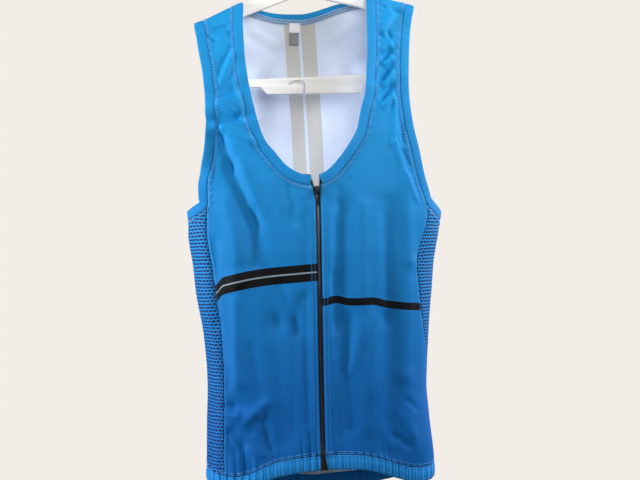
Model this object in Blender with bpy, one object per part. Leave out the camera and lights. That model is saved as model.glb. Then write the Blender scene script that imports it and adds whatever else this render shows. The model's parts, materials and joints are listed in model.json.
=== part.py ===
# Cycling tank top hanging, filled out, on a plastic hanger.
# Sizes are in millimetres. x runs to the wearer's left, the front faces -y, and "drop" is
# the distance below the inner top of the hanger's hook, which is the origin.

import math
import bpy
import bmesh
import numpy as np
from mathutils.geometry import tessellate_polygon

CLOTH = 1.2               # wall of the knit panels
GAP = 0.3                 # between neighbouring pieces at a seam
ROLL = 8.0                # radius of the cloth where it turns over the hanger
SEAM_BEHIND = 6.0         # shoulder seam, behind the ridge of the shoulder
SHOULDER = 82.0           # mean drop of the shoulder ridge
UNDERARM = 330.0          # drop of the side seams' upper ends
SWELL = 260.0             # fall over which the cloth swells out to its full depth
SQUARE = 0.023            # squareness of the body's cross-section
BINDING = 11.0            # width of neck and armhole bindings
BACK_BINDING = 13.5       # width of the binding at the back of the neck
GRIPPER = 17.5            # height of the hem band
RIBS = 146                # ribs round the hem band
RIB = 0.7                 # height of a rib
ZIP_EDGE = 3.0            # from the zip's middle to the edge of each front
COIL = 2.5                # half width of the closed zip's coil
TAPE = 13.0               # half width of the zip's two tapes
ZIP_TOP = 294.0           # drop of the upper ends of the zip
ZIP_OPEN = 324.0          # drop at which the two halves start to part
FLARE = {"right": 8.0, "left": 2.5}
TILT = {"top": 0.048, "foot": 0.016}    # slopes of the bar's edges, falling to the wearer's right
HANGER = 7.0              # thickness of the moulding
PIN_DROP = 314.0          # drop of the slider's pin
TAB = 17.0                # length of the pull tab below its pin

# where the ridge of the shoulders lies
RIDGE = [  # x, drop
    (-180, 125), (-141.6, 105.6), (-92.5, 81), (-78, 75.4), (-8, 46), (73, 62.6), (122, 73.8),
    (134, 77.2), (180, 91)]

# cross-sections of the garment from the shoulders down
BODY = [  # drop, middle, half width, depth in front, depth behind
    (62, -4, 182, 52, 46), (172, -3, 174, 52, 46), (262, 0, 166, 52, 46),
    (325, 3.6, 156, 52, 46), (345, 4.4, 158.4, 52, 46), (364, 3, 157.6, 52, 46),
    (384, 2.4, 154.4, 52, 46), (400, 2.4, 151.8, 51, 46),
    (434, 2.8, 148.6, 50, 46), (484, 4, 142, 48, 46), (552, 3.4, 138, 47, 47),
    (597, 4.6, 140.3, 47, 48), (647, 6.2, 142.5, 48, 49), (700, 5.4, 142, 48, 49)]

# edges of the front and back panels
NECK_RIGHT = [  # x, drop
    (-91.5, 80.6), (-93.5, 107), (-93, 141), (-90, 178), (-85.2, 203), (-79.6, 231),
    (-68.5, 260), (-59, 272), (-44.3, 290), (-22.3, 303), (-6.2, 306)]
NECK_LEFT = [
    (84.5, 65.4), (83.5, 86), (82.3, 115), (80.5, 142), (78, 164), (74.5, 194),
    (68, 216), (62.3, 240), (48.5, 264), (32, 285), (18, 298), (4, 305)]
NECK_BACK = [
    (-91.5, 82.9), (-90.2, 86.4), (-87, 88.9), (-82, 90), (-74, 90.8), (-62, 93.4),
    (-50, 96.6), (-40, 98.4), (-22, 99.5), (-4, 99.4), (10, 96.8), (24, 92.4), (38, 87.2),
    (50, 83.4), (60, 80.8), (70, 78.6), (77, 76.6), (81.5, 73.6), (84.5, 67.8)]
ARM_RIGHT = [
    (-130.5, 99.8), (-126.3, 136), (-122, 166), (-120, 202), (-120.5, 227), (-121.6, 251),
    (-125, 275), (-129, 293), (-134, 311), (-139, 330)]
ARM_LEFT = [
    (125, 74.6), (118.5, 99), (114, 128), (111.5, 153), (109.5, 190), (112, 227),
    (119.5, 264), (125.5, 293), (130.5, 311), (136.4, 330)]
ARM_BACK_RIGHT = [
    (-130.5, 102), (-123, 136), (-117, 180), (-115.5, 227), (-119, 275), (-129, 311),
    (-139, 330)]
ARM_BACK_LEFT = [
    (125, 76.8), (116, 118), (110.5, 170), (109.5, 220), (115, 270), (129, 311),
    (136.4, 330)]

# seams of the mesh side panels, as degrees from the side towards the front or the back
SIDE_RIGHT = [  # drop, front seam, back seam
    (330, 33, 33), (420, 34, 34), (520, 33, 34), (660, 32, 34)]
SIDE_LEFT = [
    (330, 33, 33), (362, 36, 29), (395, 40, 27), (430, 37, 30), (462, 32, 34),
    (492, 24, 41), (528, 10, 50), (572, -2, 56), (660, -6, 58)]
SIDE_TOP = {"right": 344.0, "left": 351.0}

# lower edge of the garment, by degrees from the middle of the front to the wearer's right
HEM = [  # degrees, drop
    (-180, 694), (-150, 689), (-130, 681), (-110, 674), (-90, 671), (-75, 672.5), (-60, 674),
    (-45, 671.5), (-36, 666), (-24, 656.5), (-16, 651.5), (0, 648.5), (10, 650), (24, 655),
    (31, 661), (40, 668.5), (50, 671), (62, 669), (75, 665), (90, 663), (110, 666),
    (130, 674), (150, 686), (180, 694)]

# largest folds: a trough has a negative rise
FOLDS = [  # face, x, drop, x, drop, half width, rise
    ("front", -118, 193, -92, 185, 6, -2.4),
    ("front", -116, 207, -92, 203, 7, 2.2),
    ("front", -118, 224, -84, 222, 6, -4.4),
    ("front", -110, 236, -76, 254, 7, 3.0),
    ("front", -112, 246, -103, 284, 6, -4.0),
    ("front", -103, 284, -76, 350, 9, -3.2),
    ("front", -76, 350, -52, 470, 12, -3.0),
    ("front", -52, 470, -44, 610, 13, -2.6),
    ("front", -108, 320, -98, 420, 11, 2.8),
    ("front", -98, 420, -94, 540, 12, 2.6),
    ("front", -123, 372, -122, 470, 6, -2.2),
    ("front", -122, 470, -111, 545, 6, -2.2),
    ("front", -17, 440, -17, 590, 6, -1.4),
    ("front", 84, 152, 96, 139, 5, -2.6),
    ("front", 80, 178, 93, 164, 5, -2.6),
    ("front", 77, 202, 99, 182, 5, -2.0),
    ("front", 27, 330, 27, 470, 8, -2.4),
    ("front", 27, 470, 34, 600, 9, -2.8),
    ("front", 52, 330, 56, 600, 12, 2.0),
    ("front", 86, 330, 84, 470, 10, -2.6),
    ("front", 84, 470, 82, 630, 11, -3.0),
    ("front", 110, 300, 114, 400, 8, 3.0),
    ("front", 110, 400, 106, 540, 10, 2.8),
    ("front", 106, 540, 116, 630, 10, 2.4),
    ("front", -106, 568, -96, 571, 5, -2.6),
    ("front", -101, 580, -94, 591, 6, 2.2),
    ("front", -88, 584, -67, 565, 6, 3.0),
    ("front", -109, 600, -95, 616, 5, -3.2),
    ("front", -95, 616, -90, 646, 6, -2.8),
    ("front", -66, 610, -56, 634, 8, -2.2),
    ("back", -96, 130, -112, 200, 9, -2.4),
    ("back", 90, 120, 104, 190, 9, -2.4),
    ("back", -64, 170, -52, 340, 14, -3.0),
    ("back", 60, 160, 46, 330, 14, -3.0),
    ("back", -84, 360, -70, 600, 13, -2.8),
    ("back", -28, 330, -24, 620, 13, -2.4),
    ("back", 34, 340, 40, 640, 13, -2.6),
    ("back", 88, 380, 80, 630, 12, -2.8),
    ("back", 2, 200, 6, 620, 15, 1.8),
    ("back", -104, 420, -98, 600, 10, 2.0),
]

ROLL_ROWS = [-SEAM_BEHIND, -2.0, 2.0, 6.3, 11.0, 19.0]
FRONT_ROWS = 20           # rows from the shoulder down to the underarm
BACK_ROWS = 13
BODY_ROWS = 21            # rows from the underarm down to the hem band
FRONT_COLUMNS = 12
BACK_COLUMNS = 20
STRAP_COLUMNS = 3         # of the back's columns, over each shoulder
SIDE_COLUMNS = 8

COLOURS = {  # red, green, blue, roughness, metallic
    "azure knit": (0.045, 0.27, 0.56, 0.75, 0.0),
    "azure mesh": (0.035, 0.22, 0.48, 0.8, 0.0),
    "azure elastic": (0.04, 0.24, 0.5, 0.7, 0.0),
    "black tape": (0.012, 0.013, 0.016, 0.6, 0.0),
    "slider metal": (0.09, 0.095, 0.1, 0.35, 1.0),
    "white label": (0.82, 0.83, 0.84, 0.7, 0.0),
    "grey label": (0.09, 0.095, 0.11, 0.7, 0.0),
    "white plastic": (0.83, 0.82, 0.79, 0.4, 0.0),
}


# ---- curves ----

def through(knots, values, at):
    """Smooth curve through a table's rows, with no overshoot between them."""
    knots, values = np.asarray(knots, float), np.asarray(values, float)
    at = np.asarray(at, float)
    step = np.diff(knots)
    slope = np.diff(values) / step
    tangent = np.zeros(len(knots))
    tangent[0], tangent[-1] = slope[0], slope[-1]
    product = slope[:-1] * slope[1:]
    total = np.where(np.abs(slope[:-1] + slope[1:]) < 1e-12, 1.0, slope[:-1] + slope[1:])
    tangent[1:-1] = np.where(product > 0, 2 * product / total, 0.0)
    i = np.clip(np.searchsorted(knots, at) - 1, 0, len(step) - 1)
    t = np.clip((at - knots[i]) / step[i], 0.0, 1.0)
    rise = values[i] * (1 + 2 * t) * (1 - t) ** 2 + values[i + 1] * t * t * (3 - 2 * t)
    lean = tangent[i] * t * (1 - t) ** 2 - tangent[i + 1] * t * t * (1 - t)
    return rise + lean * step[i]


def column(table, index):
    return [row[index] for row in table]


def dense(table, count=240):
    """The curve drawn through a table of x and drop, as many short steps."""
    points = np.asarray(table, float)
    along = np.concatenate([[0], np.cumsum(np.hypot(*np.diff(points, axis=0).T))])
    at = np.linspace(0, along[-1], count)
    return through(along, points[:, 0], at), through(along, points[:, 1], at)


# ---- the garment's surface ----

def ridge(x):
    return through(column(RIDGE, 0), column(RIDGE, 1), x)


def section(level, index):
    return through(column(BODY, 0), column(BODY, index), level)


def fade(level):
    t = np.clip((UNDERARM - level) / (UNDERARM - SHOULDER), 0.0, 1.0)
    return t * t * (3 - 2 * t)


def ring(theta):
    angle = np.radians(theta)
    across = (1 + SQUARE) * np.cos(angle) - SQUARE * np.cos(3 * angle)
    outward = (1 + SQUARE) * np.sin(angle) + SQUARE * np.sin(3 * angle)
    return across, outward


def base(theta, q):
    """Point at theta degrees round from the wearer's left and q mm below the ridge."""
    theta, q = np.broadcast_arrays(np.asarray(theta, float), np.asarray(q, float))
    angle = np.clip(np.abs(q) / ROLL, 0, math.pi / 2)
    fall = ROLL * (1 - np.cos(angle)) + np.maximum(np.abs(q) - ROLL * math.pi / 2, 0)
    level = SHOULDER + fall
    across, outward = ring(theta)
    x = section(level, 1) + section(level, 2) * across
    drop = level + (ridge(x) - SHOULDER) * fade(level)
    facing = np.where(q < 0, -1.0, 1.0)
    depth = np.where(outward * facing > 0, section(level, 3), section(level, 4))
    swell = np.sin(math.pi / 2 * np.clip(fall / SWELL, 0, 1))
    roll = ROLL * np.sin(angle) * np.sin(math.pi / 2 * np.clip(outward / 0.6, -1, 1))
    y = -facing * (roll + (depth - ROLL) * swell * outward)
    return np.stack([x, y, -drop], axis=-1)


def level_to_q(level):
    fall = np.asarray(level, float) - SHOULDER
    turned = np.arccos(np.clip(1 - fall / ROLL, -1, 1)) * ROLL
    return np.where(fall < ROLL, turned, fall + ROLL * (math.pi / 2 - 1))


def place(x, drop, back=False):
    """Round angle and q of a point given by x and drop."""
    x, drop = np.asarray(x, float), np.asarray(drop, float)
    level = np.maximum(drop - (ridge(x) - SHOULDER), SHOULDER)
    for _ in range(40):
        level = 0.5 * level + 0.5 * (drop - (ridge(x) - SHOULDER) * fade(level))
    level = np.maximum(level, SHOULDER)
    angles = np.linspace(180, 0, 1801)
    theta = np.interp((x - section(level, 1)) / section(level, 2), ring(angles)[0], angles)
    return (360 - theta if back else theta), level_to_q(level)


def unit(vectors):
    return vectors / np.maximum(np.linalg.norm(vectors, axis=-1, keepdims=True), 1e-12)


def normal_of(surface, theta, q):
    round_step = surface(theta + 0.03, q) - surface(theta - 0.03, q)
    down_step = surface(theta, q + 0.06) - surface(theta, q - 0.06)
    return unit(np.cross(round_step, down_step))


def fold_lines():
    lines = []
    for face, x0, drop0, x1, drop1, width, rise in FOLDS:
        ends = [base(*place(x, drop, face == "back")) for x, drop in ((x0, drop0), (x1, drop1))]
        lines.append((ends[0], ends[1], width, rise))
    return lines


LINES = fold_lines()


def folded(theta, q):
    points = base(theta, q)
    lift = np.zeros(points.shape[:-1])
    for start, end, width, rise in LINES:
        along = end - start
        t = np.clip(((points - start) @ along) / (along @ along), 0, 1)
        away = np.linalg.norm(points - start - t[..., None] * along, axis=-1)
        lift = lift + rise * np.exp(-(away / width) ** 2)
    return points + normal_of(base, theta, q) * lift[..., None]


def skin(theta, q, out=0.0):
    """Point on the folded cloth, moved out from its face."""
    theta, q = np.broadcast_arrays(np.asarray(theta, float), np.asarray(q, float))
    points = folded(theta, q)
    return points + normal_of(folded, theta, q) * np.asarray(out, float)[..., None]


# ---- edges shared by neighbouring pieces ----

def spread(theta, q, fractions):
    """Points at given fractions of the length of an edge."""
    points = base(theta, q)
    along = np.concatenate([[0], np.cumsum(np.linalg.norm(np.diff(points, axis=0), axis=1))])
    at = np.asarray(fractions) * along[-1]
    return np.interp(at, along, theta), np.interp(at, along, q)


def edge(table, rows, back=False, over_ridge=False):
    """Edge of a panel from the shoulder down, with close rows where the cloth turns over."""
    theta, q = place(*dense(table), back)
    order = np.argsort(q)
    roll = [r for r in ROLL_ROWS if over_ridge or r > SEAM_BEHIND]
    below = q > roll[-1]
    first = np.interp(roll[-1], q[order], theta[order])
    rest_theta = np.concatenate([[first], theta[below]])
    rest_q = np.concatenate([[roll[-1]], q[below]])
    rest = spread(rest_theta, rest_q, np.linspace(0, 1, rows + 1)[1:])
    inner = np.interp(np.maximum(roll, q[order][0]), q[order], theta[order])
    return np.concatenate([inner, rest[0]]), np.concatenate([roll, rest[1]])


def flare(side, drop):
    t = np.clip((ZIP_OPEN - np.asarray(drop, float)) / (ZIP_OPEN - ZIP_TOP), 0, 1)
    return FLARE[side] * t ** 1.3


def hem_q(theta, above=0.0):
    away = (np.asarray(theta, float) + 90) % 360 - 180
    return level_to_q(through(column(HEM, 0), column(HEM, 1), away) - above)


def side_seam(side, drop, back=False):
    table = SIDE_RIGHT if side == "right" else SIDE_LEFT
    away = through(column(table, 0), column(table, 2 if back else 1), drop)
    if back:
        away = -away
    return away if side == "left" else 180 - away


def level_of(q):
    return SHOULDER + np.asarray(q, float) - ROLL * (math.pi / 2 - 1)


def seam_rows(side, back=False):
    """Side seam from the underarm to the hem band, as angles and q."""
    top = place(ARM_RIGHT[-1][0] if side == "right" else ARM_LEFT[-1][0], UNDERARM)[1]
    q = np.full(BODY_ROWS + 1, float(top))
    theta = side_seam(side, level_of(q), back)
    for _ in range(6):
        bottom = hem_q(theta[-1], GRIPPER + GAP)
        q = np.linspace(float(top), float(bottom), BODY_ROWS + 1)
        theta = side_seam(side, level_of(q), back)
    return theta, q


# ---- solids ----

def material(name):
    made = bpy.data.materials.new(name)
    made.use_nodes = True
    shader = made.node_tree.nodes["Principled BSDF"]
    red, green, blue, rough, metal = COLOURS[name]
    shader.inputs["Base Color"].default_value = (red, green, blue, 1)
    shader.inputs["Roughness"].default_value = rough
    shader.inputs["Metallic"].default_value = metal
    return made


def solid(name, points, faces, colour, origin=(0, 0, 0)):
    origin = np.asarray(origin, float)
    mesh = bpy.data.meshes.new(name)
    mesh.from_pydata([tuple((p - origin) * 0.001) for p in points], [], faces)
    shape = bmesh.new()
    shape.from_mesh(mesh)
    bmesh.ops.recalc_face_normals(shape, faces=shape.faces)
    bmesh.ops.triangulate(shape, faces=shape.faces, quad_method="SHORT_EDGE")
    shape.to_mesh(mesh)
    shape.free()
    made = bpy.data.objects.new(name, mesh)
    made.location = tuple(origin * 0.001)
    mesh.materials.append(bpy.data.materials.get(colour) or material(colour))
    bpy.context.scene.collection.objects.link(made)
    return made


def wall(name, theta, q, colour, out=0.0, thick=CLOTH):
    """Cloth panel over a grid of places, its inner face a wall's thickness behind."""
    rows, columns = theta.shape
    points = np.concatenate([skin(theta, q, out).reshape(-1, 3),
                             skin(theta, q, out - thick).reshape(-1, 3)])
    behind = rows * columns
    at = lambda i, j: i * columns + j
    faces = []
    for i in range(rows - 1):
        for j in range(columns - 1):
            quad = [at(i, j), at(i, j + 1), at(i + 1, j + 1), at(i + 1, j)]
            faces += [quad, [behind + k for k in reversed(quad)]]
    rim = [at(0, j) for j in range(columns)]
    rim += [at(i, columns - 1) for i in range(1, rows)]
    rim += [at(rows - 1, j) for j in range(columns - 2, -1, -1)]
    rim += [at(i, 0) for i in range(rows - 2, 0, -1)]
    for a, b in zip(rim, rim[1:] + rim[:1]):
        faces.append([b, a, behind + a, behind + b])
    return solid(name, points, faces, colour)


def strip(name, sections, colour, closed=False, origin=(0, 0, 0)):
    """Body swept through a row of equal loops of points."""
    count, size = sections.shape[:2]
    at = lambda i, k: (i % count) * size + k % size
    faces = []
    for i in range(count if closed else count - 1):
        for k in range(size):
            faces.append([at(i, k), at(i, k + 1), at(i + 1, k + 1), at(i + 1, k)])
    if not closed:
        faces.append([at(0, k) for k in range(size)])
        faces.append([at(count - 1, k) for k in reversed(range(size))])
    return solid(name, sections.reshape(-1, 3), faces, colour, origin)


def shrunk(loop, by):
    """Closed outline moved in by a small step (out, where it goes round clockwise)."""
    p = np.array(loop, float)
    ahead, behind = unit(np.roll(p, -1, axis=0) - p), unit(p - np.roll(p, 1, axis=0))
    lean = unit(ahead + behind)
    inward = np.stack([-lean[:, 1], lean[:, 0]], axis=1)
    half_turn = np.maximum(np.sum(ahead * lean, axis=1), 0.5)
    return [tuple(a) for a in p + inward * (by / half_turn)[:, None]]


def turns_left(loop):
    p = np.array(loop, float)
    nxt = np.roll(p, -1, axis=0)
    return float(np.sum(p[:, 0] * nxt[:, 1] - nxt[:, 0] * p[:, 1])) > 0


def plate(outline, holes, low, high, axis, chamfer=0.2):
    """Points and faces of a flat body with holes and chamfered edges, cut across an axis."""
    loops = [list(outline) if turns_left(outline) else list(outline)[::-1]]
    loops += [list(h)[::-1] if turns_left(h) else list(h) for h in holes]
    small = [shrunk(loop, chamfer) for loop in loops]
    flat = [p for loop in loops for p in loop]
    cap = [p for loop in small for p in loop]
    lift = {"x": lambda p, t: (t, p[0], p[1]), "y": lambda p, t: (p[0], t, p[1])}[axis]
    layers = [(cap, low), (flat, low + chamfer), (flat, high - chamfer), (cap, high)]
    points = [lift(p, t) for ring_points, t in layers for p in ring_points]
    count = len(flat)
    triangles = tessellate_polygon([[(p[0], p[1], 0) for p in loop] for loop in small])
    faces = [list(t) for t in triangles]
    faces += [[3 * count + k for k in reversed(t)] for t in triangles]
    start = 0
    for loop in loops:
        ids = [start + k for k in range(len(loop))]
        for a, b in zip(ids, ids[1:] + ids[:1]):
            for layer in (0, count, 2 * count):
                faces.append([layer + a, layer + b, layer + count + b, layer + count + a])
        start += len(loop)
    return np.array(points, float), faces


def blocks(xs, ys, zs, filled):
    """Faces of the cells of a small grid that are filled."""
    inside = lambda c: c in filled
    corners, points, faces = {}, [], []

    def corner(i, j, k):
        if (i, j, k) not in corners:
            corners[(i, j, k)] = len(points)
            points.append((xs[i], ys[j], zs[k]))
        return corners[(i, j, k)]

    sides = [((1, 0, 0), [(1, 0, 0), (1, 1, 0), (1, 1, 1), (1, 0, 1)]),
             ((-1, 0, 0), [(0, 0, 0), (0, 0, 1), (0, 1, 1), (0, 1, 0)]),
             ((0, 1, 0), [(0, 1, 0), (0, 1, 1), (1, 1, 1), (1, 1, 0)]),
             ((0, -1, 0), [(0, 0, 0), (1, 0, 0), (1, 0, 1), (0, 0, 1)]),
             ((0, 0, 1), [(0, 0, 1), (1, 0, 1), (1, 1, 1), (0, 1, 1)]),
             ((0, 0, -1), [(0, 0, 0), (0, 1, 0), (1, 1, 0), (1, 0, 0)])]
    for i, j, k in sorted(filled):
        for step, quad in sides:
            if not inside((i + step[0], j + step[1], k + step[2])):
                faces.append([corner(i + a, j + b, k + c) for a, b, c in quad])
    return np.array(points, float), faces


# ---- panels ----

def front(side):
    """One front: from the shoulder seam to the hem band, its inner edge on the zip."""
    neck = list(NECK_RIGHT if side == "right" else NECK_LEFT)
    sign = -1 if side == "right" else 1
    neck[-1] = (sign * (ZIP_EDGE + float(flare(side, neck[-1][1]))), neck[-1][1])
    inner = edge(neck, FRONT_ROWS, over_ridge=True)
    outer = edge(ARM_RIGHT if side == "right" else ARM_LEFT, FRONT_ROWS, over_ridge=True)
    seam = seam_rows(side)
    part = np.linspace(0, 1, BODY_ROWS + 1)[1:]
    zip_q = inner[1][-1] + part * (float(hem_q(90, GRIPPER + GAP)) - inner[1][-1])
    zip_theta = place(sign * (ZIP_EDGE + flare(side, level_of(zip_q))), level_of(zip_q))[0]
    shift = sign * seam_gap()
    outer = settle_end(outer, seam[0][0] + shift, seam[1][0])
    inner = np.concatenate([inner[0], zip_theta]), np.concatenate([inner[1], zip_q])
    outer = (np.concatenate([outer[0], seam[0][1:] + shift]),
             np.concatenate([outer[1], seam[1][1:]]))
    below = len(ROLL_ROWS) + FRONT_ROWS
    flat = float(hem_q(90, GRIPPER + GAP))
    s = np.linspace(0, 1, 61)
    theta, q = [], []
    for i in range(len(inner[0])):
        row_theta = inner[0][i] * (1 - s) + outer[0][i] * s
        row_q = inner[1][i] * (1 - s) + outer[1][i] * s
        f = max(0, i - below + 1) / BODY_ROWS
        row_q += f * (hem_q(row_theta, GRIPPER + GAP) - flat * (1 - s) - outer[1][-1] * s)
        row = spread(row_theta, row_q, np.linspace(0, 1, FRONT_COLUMNS + 1))
        theta.append(row[0])
        q.append(row[1])
    return np.array(theta), np.array(q)


def settle_end(line, theta, q):
    """The edge with its last points eased on to a given end."""
    ease = np.clip((np.arange(len(line[0])) - len(line[0]) + 6) / 5, 0, 1)
    return line[0] + (theta - line[0][-1]) * ease, line[1] + (q - line[1][-1]) * ease


def seam_gap():
    """Half of the gap at a side seam, as degrees round the body."""
    return 0.5 * GAP / 1.45


def back_panel():
    upper = {}
    for side, table in (("left", ARM_BACK_LEFT), ("right", ARM_BACK_RIGHT)):
        arm = edge(table, BACK_ROWS, back=True)
        seam = seam_rows(side, back=True)
        down = seam[0] % 360 + (-seam_gap() if side == "left" else seam_gap())
        arm = settle_end(arm, down[0], seam[1][0])
        upper[side] = (np.concatenate([arm[0], down[1:]]), np.concatenate([arm[1], seam[1][1:]]))
    neck_theta, neck_q = place(*dense(NECK_BACK), back=True)
    strap = STRAP_COLUMNS
    around = np.linspace(0, 1, BACK_COLUMNS - 2 * strap + 1)
    neck = spread(neck_theta, neck_q, around)
    right, left = upper["right"], upper["left"]
    top_theta = np.concatenate([np.linspace(right[0][0], neck[0][0], strap + 1)[:-1], neck[0],
                                np.linspace(neck[0][-1], left[0][0], strap + 1)[1:]])
    top_q = np.concatenate([np.full(strap, right[1][0]), neck[1], np.full(strap, left[1][0])])
    top_q[strap] = right[1][0]
    top_q[-strap - 1] = left[1][0]
    rows = len(right[0])
    even = np.linspace(0, 1, BACK_COLUMNS + 1)
    share = (top_theta - top_theta[0]) / (top_theta[-1] - top_theta[0])
    theta, q = np.zeros((rows, BACK_COLUMNS + 1)), np.zeros((rows, BACK_COLUMNS + 1))
    for i in range(rows):
        relax = min(1.0, i / (BACK_ROWS + 2))
        s = share * (1 - relax) + even * relax
        theta[i] = right[0][i] * (1 - s) + left[0][i] * s
        line = right[1][i] * (1 - s) + left[1][i] * s
        start = right[1][0] * (1 - s) + left[1][0] * s
        settle = max(0.0, 1 - (line[0] - start[0]) / 150.0) ** 1.5
        q[i] = line + (top_q - start) * settle
    below = BACK_ROWS + 3
    for i in range(below, rows):
        f = ((i - below + 1) / BODY_ROWS) ** 1.2
        line = right[1][-1] * (1 - even) + left[1][-1] * even
        q[i] += f * (hem_q(theta[i], GRIPPER + GAP) - line)
    return theta, q


def side_panel(side):
    ahead, behind = seam_rows(side), seam_rows(side, back=True)
    toward = seam_gap() if side == "right" else -seam_gap()
    s = np.linspace(0, 1, SIDE_COLUMNS + 1)[None, :]
    theta = (ahead[0] + toward)[:, None] * (1 - s) + (behind[0] - toward)[:, None] * s
    q = ahead[1][:, None] * (1 - s) + behind[1][:, None] * s
    part = np.linspace(0, 1, BODY_ROWS + 1)[:, None]
    dip = (SIDE_TOP[side] - UNDERARM) * (1 - np.abs(2 * s - 1) ** 2.6)
    q = q + dip * (1 - part)
    bend = hem_q(theta[-1], GRIPPER + GAP) - q[-1]
    return theta, q + bend * part


# ---- bindings ----

BINDING_LOOP = [  # share of the width, out from the cloth's face
    (0.0, -1.2), (0.0, 0.3), (0.11, 0.9), (0.85, 0.9), (1.0, 0.2), (0.98, -0.8), (0.85, -1.2)]


def binding(name, theta, q, width, colour, closed, ends=None):
    """Strip along an edge, starting a gap's width from it and running outward."""
    points, normals = skin(theta, q), normal_of(folded, theta, q)
    if closed:
        tangent = np.roll(points, -1, axis=0) - np.roll(points, 1, axis=0)
    else:
        tangent = np.gradient(points, axis=0)
    outward = unit(np.cross(tangent, normals))
    if ends is not None:
        outward[0], outward[-1] = unit(ends[0] - points[0]), unit(ends[1] - points[-1])
    width = np.broadcast_to(np.asarray(width, float), theta.shape)
    loops = [points + outward * (GAP + share * width)[:, None] + normals * out
             for share, out in BINDING_LOOP]
    return strip(name, np.stack(loops, axis=1), colour, closed)


def neck_edge(fronts, rear):
    """Neck edge from the right zip edge over the shoulders and the back to the left."""
    rows = len(ROLL_ROWS) + FRONT_ROWS
    around = slice(STRAP_COLUMNS + 1, -STRAP_COLUMNS - 1)
    right, left, middle = fronts["right"], fronts["left"], rear[0][0, around]
    theta = np.concatenate([right[0][:rows, 0][::-1], middle, left[0][:rows, 0]])
    q = np.concatenate([right[1][:rows, 0][::-1], rear[1][0, around], left[1][:rows, 0]])
    x = base(theta, q)[:, 0]
    wider = np.where(theta > 180, np.clip(1 - (x / 62) ** 2, 0, 1), 0)
    return theta, q, BINDING + (BACK_BINDING - BINDING) * wider


def zip_corners():
    """Where the finished neck edge meets each half of the zip."""
    across = {side: ZIP_EDGE + float(flare(side, ZIP_TOP)) for side in ("right", "left")}
    return [skin(*place(x, ZIP_TOP)) for x in (-across["right"], across["left"])]


def arm_edge(side, fronts, rear, panel):
    """Armhole edge, down the front, under the arm and up the back."""
    rows, back_rows = len(ROLL_ROWS) + FRONT_ROWS, BACK_ROWS + 3
    back_column = 0 if side == "right" else -1
    theta, q = (np.concatenate([
        fronts[side][k][:rows - 1, -1], panel[k][0],
        rear[k][:back_rows - 1, back_column][::-1][:-1]]) for k in (0, 1))
    return (theta[::-1], q[::-1]) if side == "left" else (theta, q)


# ---- hem band ----

def hem_band(bottoms):
    """Ribbed band from one edge of the zip round the back to the other."""
    seam_theta = np.concatenate([b[0] for b in bottoms]) % 360
    seam_q = np.concatenate([b[1] for b in bottoms])
    order = np.argsort(seam_theta)
    seam_theta, seam_q = seam_theta[order], seam_q[order]
    start = float(place(ZIP_EDGE, 645)[0])
    stop = float(place(-ZIP_EDGE, 645)[0])
    count = RIBS * 2 + 1
    turn = np.linspace(start, stop - 360, 2001)
    walk = base(turn, hem_q(turn))
    along = np.concatenate([[0], np.cumsum(np.linalg.norm(np.diff(walk, axis=0), axis=1))])
    theta = np.interp(np.linspace(0, along[-1], count), along, turn) % 360
    wave = np.where(np.arange(count) % 2 == 0, RIB, -0.1)
    wave[0] = wave[-1] = 0.3
    rows = [(GRIPPER, 0.2 + 0.4 * wave), (GRIPPER * 0.55, 0.9 + wave), (1.2, 0.5 + wave),
            (0.0, -0.6 + 0 * wave), (GRIPPER, -CLOTH + 0 * wave)]
    top = np.interp(theta, seam_theta, seam_q, period=360) + GAP
    loops = [skin(theta, hem_q(theta) - (hem_q(theta) - top) * above / GRIPPER, out)
             for above, out in rows]
    return strip("hem_gripper", np.stack(loops, axis=1), "azure elastic")


# ---- zip ----

def zip_half(side):
    """Tape with half of the coil, the coil standing forward in the gap of the fronts."""
    sign = -1 if side == "right" else 1
    top, bottom = ZIP_TOP + 0.5, float(through(column(HEM, 0), column(HEM, 1), 0)) - 1.0
    drop = np.concatenate([np.linspace(top, ZIP_OPEN, 7), np.linspace(ZIP_OPEN, bottom, 22)[1:]])
    open_by = flare(side, drop)
    front_of_tape = -CLOTH - GAP
    loop = [(0.5 * GAP, 0.6), (COIL, 0.6), (COIL, front_of_tape), (TAPE, front_of_tape),
            (TAPE, front_of_tape - 1.0), (0.5 * GAP, front_of_tape - 1.0)]
    q = level_to_q(drop)
    loops = []
    for across, out in loop:
        theta = place(sign * (across + open_by), drop)[0]
        loops.append(skin(theta, q, out))
    return strip("zip_half_" + side, np.stack(loops, axis=1), "black tape")


def slider_frame():
    """Middle of the slider on the cloth's face, and the pin's middle in front of it."""
    theta, q = place(-0.4, PIN_DROP - 1.5)
    seat = skin(theta, q)
    return seat, np.array([seat[0], seat[1] - 4.6, -PIN_DROP])


def slider():
    seat, pin = slider_frame()
    x, y = float(seat[0]), float(seat[1])
    xs = [x - 3.6, x - 2.0, x - 1.35, x - 0.6, x + 0.6, x + 1.35, x + 2.0, x + 3.6]
    ys = [pin[1] - 0.5, pin[1] + 0.5, y - 2.3, y - 1.1, y + 2.9, y + 4.1]
    zs = [-317.5, -316.2, -314.6, -313.4, -312.2, -309.6, -307.0]
    filled = set()
    for k in range(6):
        filled |= {(i, 2, k) for i in range(7)} | {(i, 4, k) for i in range(7)}
    filled |= {(3, 3, 4)}
    for k in (1, 2, 3):
        filled |= {(i, j, k) for i in (1, 5) for j in (0, 1)}
    filled |= {(i, 0, 2) for i in (2, 3, 4)}
    return solid("zip_slider", *blocks(xs, ys, zs, filled), "slider metal")


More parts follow.
